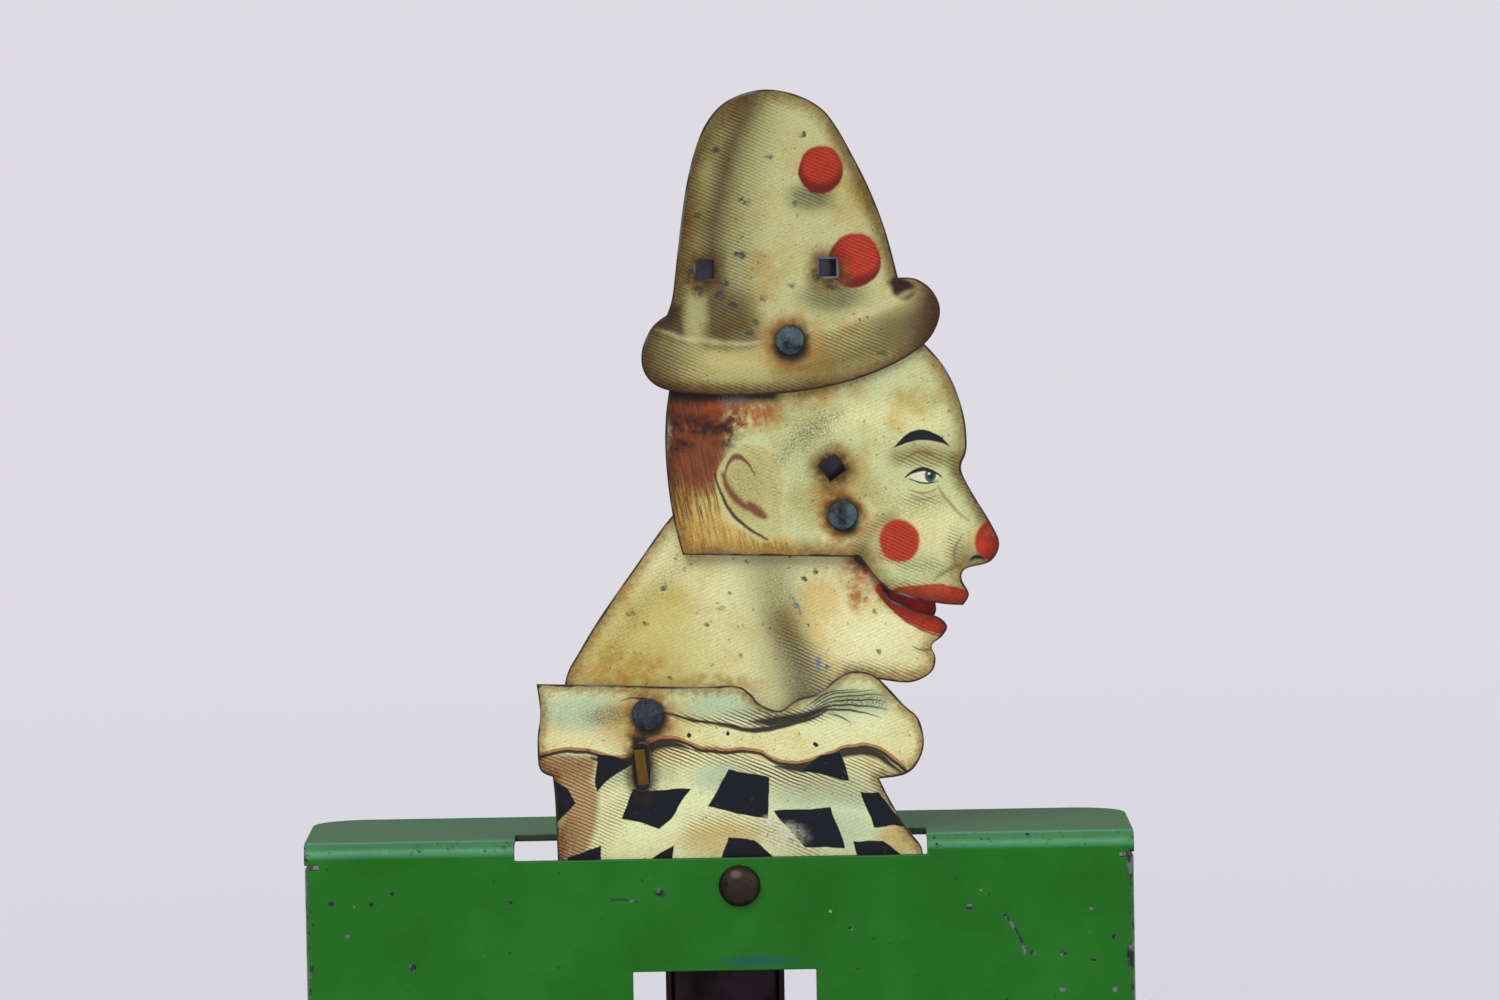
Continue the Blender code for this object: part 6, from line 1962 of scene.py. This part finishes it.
@dataclass(frozen=True)
class FinishedNode:
    """A CAD node whose shape stands, with soft edges and a full finish.

    It ends short of its back by clear_back, where it has to clear another piece.
    """

    node: str
    metal: Metals
    softening: float = 0.08 * MM
    clear_back: float = 0.0

    def build(self) -> bpy.types.Object:
        """Build the piece over its node.

        Returns:
            The piece.
        """
        mesh = merged_copy(self.node)
        back = max(vert.co.y for vert in mesh.verts) - self.clear_back
        for vert in mesh.verts:
            vert.co.y = min(vert.co.y, back)
        piece = add_piece(f"{self.node}_finished", mesh, (finishes[self.metal],), self.node)
        SoftEdges(self.softening).add_to(piece)
        return piece


@dataclass(frozen=True)
class Housing:
    """The folded green housing, with its enamel and the darker painted finish of its cut edges."""

    node: str = "front_housing"
    enamel: Enamel = Enamel()
    softening: float = 0.12 * MM
    narrow: float = 0.60 * MM
    square: float = math.radians(60)
    squared_share: float = 0.55

    def is_cut_edge(self, face: bmesh.types.BMFace) -> bool:
        """Tell whether a face is a cut through the sheet, narrow and square to the sheet."""
        around = face.calc_perimeter()
        if face.calc_area() / around > self.narrow:
            return False
        squared = sum(edge.calc_length() for edge in face.edges
                      if edge.calc_face_angle(0.0) > self.square)
        return squared > self.squared_share * around

    def build(self) -> bpy.types.Object:
        """Build the housing over its CAD node.

        Returns:
            The piece.
        """
        mesh = merged_copy(self.node)
        for face in mesh.faces:
            face.material_index = int(self.is_cut_edge(face))
        materials = (self.enamel.build(), finishes[Metals.PAINTED_EDGE])
        piece = add_piece("green_housing", mesh, materials, self.node)
        SoftEdges(self.softening).add_to(piece)
        return piece


@dataclass(frozen=True)
class JawLink:
    """The brass link, whose tongue spreads into a leaf in the costume's slot, with a dark sheet
    behind the slot as painted shade.
    """

    node: str = "jaw_link"
    leaf: Size = (1.15 * MM, 0.36 * MM, 3.9 * MM)
    slot_shade_sheet: Size = (2.7 * MM, 0.35 * MM, 5.6 * MM)
    slot_shade_seat: float = 1.10 * MM
    lean: float = math.radians(-7)
    proud: float = 0.12 * MM
    softening: float = 0.06 * MM

    def build(self) -> bpy.types.Object:
        """Build the link over its CAD node.

        Returns:
            The piece.
        """
        mesh = merged_copy(self.node)
        front = min(vert.co.y for vert in mesh.verts)
        tip = [vert.co for vert in mesh.verts if vert.co.y < front + WELD]
        middle = sum(tip, Vector()) / len(tip)
        turn = Matrix.Rotation(self.lean, 4, "Y")
        # The second block is a dark tin sheet behind the costume's slot, painted shade that hides
        # the background there
        blocks = ((front - self.proud + self.leaf[1] / 2, self.leaf),
                  (front + self.slot_shade_seat, self.slot_shade_sheet))
        for material, (depth, size) in enumerate(blocks):
            place = Matrix.Translation((middle.x, depth, middle.z))
            add_block(mesh, place @ turn, size, material)
        piece = add_piece("jaw_link_with_leaf", mesh,
                          (finishes[Metals.LINK_BRASS], finishes[Metals.DARK_TIN]), self.node)
        SoftEdges(self.softening).add_to(piece)
        return piece


# Sub-assemblies

def numbered(kind: str) -> tuple[str, ...]:
    """Return the names of the four nodes of one kind."""
    return tuple(f"{kind}_{number}" for number in range(1, 5))


@dataclass(frozen=True)
class Figure:
    """The clown's riveted plates."""

    plates: tuple[PrintedPlate, ...] = (
        PrintedPlate("costume_plate", COSTUME_PRINT),
        PrintedPlate("neck_plate", NECK_PRINT),
        PrintedPlate("mouth_plate", MOUTH_PRINT),
        PrintedPlate("head_plate", HEAD_PRINT, (
            Lance(math.radians(125), 1.4 * MM, 0.5 * MM, 4.3 * MM, 0.7 * MM),)),
        PrintedPlate("hat_plate", HAT_PRINT, (
            Lance(math.pi, 1.6 * MM, 1.0 * MM, 1.4 * MM, 0.3 * MM, flap_share=1.0,
                  tuck=0.4 * MM),
            Lance(math.pi, 1.6 * MM, 1.0 * MM, 1.4 * MM, 0.7 * MM))),
    )
    rivets: tuple[HammeredRivet, ...] = (
        HammeredRivet("hat_rivet", Metals.RIVET_STEEL),
        HammeredRivet("head_rivet", Metals.RIVET_STEEL),
        HammeredRivet("collar_rivet", Metals.SOOTED_STEEL, 16, 0.50, grit=0.14 * MM),
    )
    small_parts: tuple[FinishedNode, ...] = (
        FinishedNode("collar_washer", Metals.RIVET_STEEL, 0.05 * MM),
        FinishedNode("head_washer", Metals.RIVET_STEEL, 0.05 * MM),
        FinishedNode("mouth_rivet", Metals.DARK_TIN, 0.05 * MM),
    )
    link: JawLink = JawLink()

    def build(self) -> None:
        """Build the plates, their rivets and the link."""
        for part in (*self.plates, *self.rivets, *self.small_parts, self.link):
            part.build()


@dataclass(frozen=True)
class Case:
    """The housing, its tray, brackets and rivets."""

    housing: Housing = Housing()
    front_rivet: HammeredRivet = HammeredRivet("front_rivet", Metals.OLD_BRONZE, 5, 0.06,
                                               sharp=60.0)
    fold_softening: float = 0.12 * MM

    def build(self) -> None:
        """Build the case."""
        self.housing.build()
        self.front_rivet.build()
        for node in ("base_tray", "left_bracket", "right_bracket"):
            FinishedNode(node, Metals.TINPLATE, self.fold_softening).build()
        for node in (*numbered("bracket_rivet"), *numbered("motor_foot_rivet"),
                     "left_side_rivet", "right_side_rivet"):
            FinishedNode(node, Metals.BRIGHT_STEEL).build()


@dataclass(frozen=True)
class Clockwork:
    """The motor's frame, train, rocker, key and stop lever."""

    metals: dict[Metals, tuple[str, ...]] = field(default_factory=lambda: {
        Metals.BRIGHT_STEEL: (
            "motor_front_plate", "motor_back_plate", *numbered("motor_pillar"), "spring_post",
            "lever_stud", "rocker_stud", "winding_arbor", "ratchet_wheel", "winding_key",
            "click_leaf", "click_rivet", "second_arbor", "second_pinion", "crank_pin",
            "third_arbor", "third_pinion", "verge_staff", "verge_plate", "left_verge_pin",
            "right_verge_pin", "stop_finger", "drive_pin"),
        Metals.BRASS: ("great_wheel", "second_wheel", "crank_disc", "star_wheel"),
        Metals.BLUED_STEEL: ("rocker_arm",),
        Metals.OLD_BRONZE: ("stop_lever",),
    })
    softening: float = 0.07 * MM
    mainspring: FinishedNode = FinishedNode("mainspring", Metals.BLUED_STEEL, 0.07 * MM,
                                            clear_back=0.12 * MM)

    def build(self) -> None:
        """Build every part of the clockwork over its node."""
        self.mainspring.build()
        for metal, nodes in self.metals.items():
            for node in nodes:
                FinishedNode(node, metal, self.softening).build()


@dataclass(frozen=True)
class Sun:
    """A broad soft light: the direction that it comes from and its spread in degrees."""

    name: str
    towards: Size
    strength: float
    spread: float

    def build(self) -> None:
        """Add the light."""
        data = bpy.data.lights.new(self.name, "SUN")
        data.energy = self.strength
        data.angle = math.radians(self.spread)
        towards = Vector(self.towards)
        placed(self.name, data).rotation_euler = towards.to_track_quat("Z", "Y").to_euler()


@dataclass(frozen=True)
class Studio:
    """The pale floor, the soft lights and the camera."""

    aim: Size = (0.0041, 0.001, 0.1091)
    distance: float = 0.90
    elevation: float = math.radians(3.6)
    roll: float = math.radians(1.0)
    framed_width: float = 0.165
    sensor: float = 36.0
    farthest: float = 20.0
    floor_radius: float = 4.0
    floor_segments: int = 96
    floor_colour: Colour = (228, 226, 230)
    floor_shade: Colour = (222, 219, 226)
    floor_clouds: Clouds = Clouds(3.0)
    floor_cloudiness: float = 0.2
    floor_roughness: float = 0.8
    floor_specular: float = 0.1
    floor_fade: Rise = Rise(0.25, 1.3)
    seen_sky: Colour = (222, 220, 226)
    ambient: Colour = (214, 216, 224)
    ambient_strength: float = 0.62
    suns: tuple[Sun, ...] = (Sun("key light", (-0.35, -0.80, 0.85), 1.75, 38),
                             Sun("fill light", (0.80, -0.55, 0.40), 0.55, 70))

    def build(self) -> None:
        """Build the floor, the lights and the camera."""
        self.add_floor()
        self.add_sky()
        for sun in self.suns:
            sun.build()
        self.add_camera()
        bpy.context.scene.view_settings.view_transform = "Standard"

    def add_floor(self) -> None:
        """Lay a wide pale floor just under the tray, which fades into the background."""
        mesh = bmesh.new()
        bmesh.ops.create_circle(mesh, cap_ends=True, segments=self.floor_segments,
                                radius=self.floor_radius)
        data = bpy.data.meshes.new("floor")
        mesh.to_mesh(data)
        mesh.free()
        floor = placed("floor", data)
        material, graph, shader = new_material("pale floor")
        clouds = self.floor_clouds.over(graph, graph.object_place())
        colour = graph.mix(graph.times(clouds, self.floor_cloudiness), linear(self.floor_colour),
                           linear(self.floor_shade))
        graph.fill(shader, Base_Color=colour, Roughness=self.floor_roughness,
                   Specular_IOR_Level=self.floor_specular)
        away = graph.vector("LENGTH", graph.object_place())
        faded = graph.times(self.floor_fade.of(graph, away), self.seen_rays(graph))
        glow = graph.node("ShaderNodeEmission")
        graph.fill(glow, Color=linear(self.seen_sky))
        output = material.node_tree.nodes["Material Output"]
        graph.fill(output, Surface=graph.blend(faded, shader, glow))
        data.materials.append(material)

    @staticmethod
    def seen_rays(graph: Graph) -> Socket:
        """Return 1 for the rays that see the background, and 0 for those that light the toy."""
        path = graph.node("ShaderNodeLightPath")
        seen = graph.larger(path.outputs["Is Camera Ray"], path.outputs["Is Glossy Ray"])
        return graph.larger(seen, path.outputs["Is Transmission Ray"])

    def add_sky(self) -> None:
        """Light the toy from all round, and show a pale background behind it."""
        world = bpy.context.scene.world or bpy.data.worlds.new("studio")
        bpy.context.scene.world = world
        world.use_nodes = True
        graph = Graph(world.node_tree)
        world.node_tree.nodes.clear()
        seen = self.seen_rays(graph)
        lit = graph.node("ShaderNodeBackground")
        graph.fill(lit, Color=linear(self.ambient), Strength=self.ambient_strength)
        shown = graph.node("ShaderNodeBackground")
        graph.fill(shown, Color=linear(self.seen_sky))
        output = graph.node("ShaderNodeOutputWorld")
        graph.fill(output, Surface=graph.blend(seen, lit, shown))

    def add_camera(self) -> None:
        """Set the camera at the photograph's angle, height and framing."""
        data = bpy.data.cameras.new("camera")
        data.sensor_width = self.sensor
        data.lens = self.sensor * self.distance / self.framed_width
        data.clip_end = self.farthest
        camera = placed("camera", data)
        back = Vector((0, -math.cos(self.elevation), math.sin(self.elevation)))
        upright = Vector((math.sin(self.roll), 0, math.cos(self.roll)))
        right = upright.cross(back).normalized()
        above = back.cross(right)
        turn = Matrix((right, above, back)).transposed().to_4x4()
        place = Matrix.Translation(Vector(self.aim) + back * self.distance)
        camera.matrix_world = place @ turn
        bpy.context.scene.camera = camera


finishes = {metal: metal.value.build() for metal in Metals}


def main() -> None:
    """Dress the toy, light it and set up the camera."""
    logging.basicConfig(level=logging.INFO, format="%(name)s: %(message)s")
    Figure().build()
    Case().build()
    Clockwork().build()
    Studio().build()


if __name__ == "__main__":
    main()
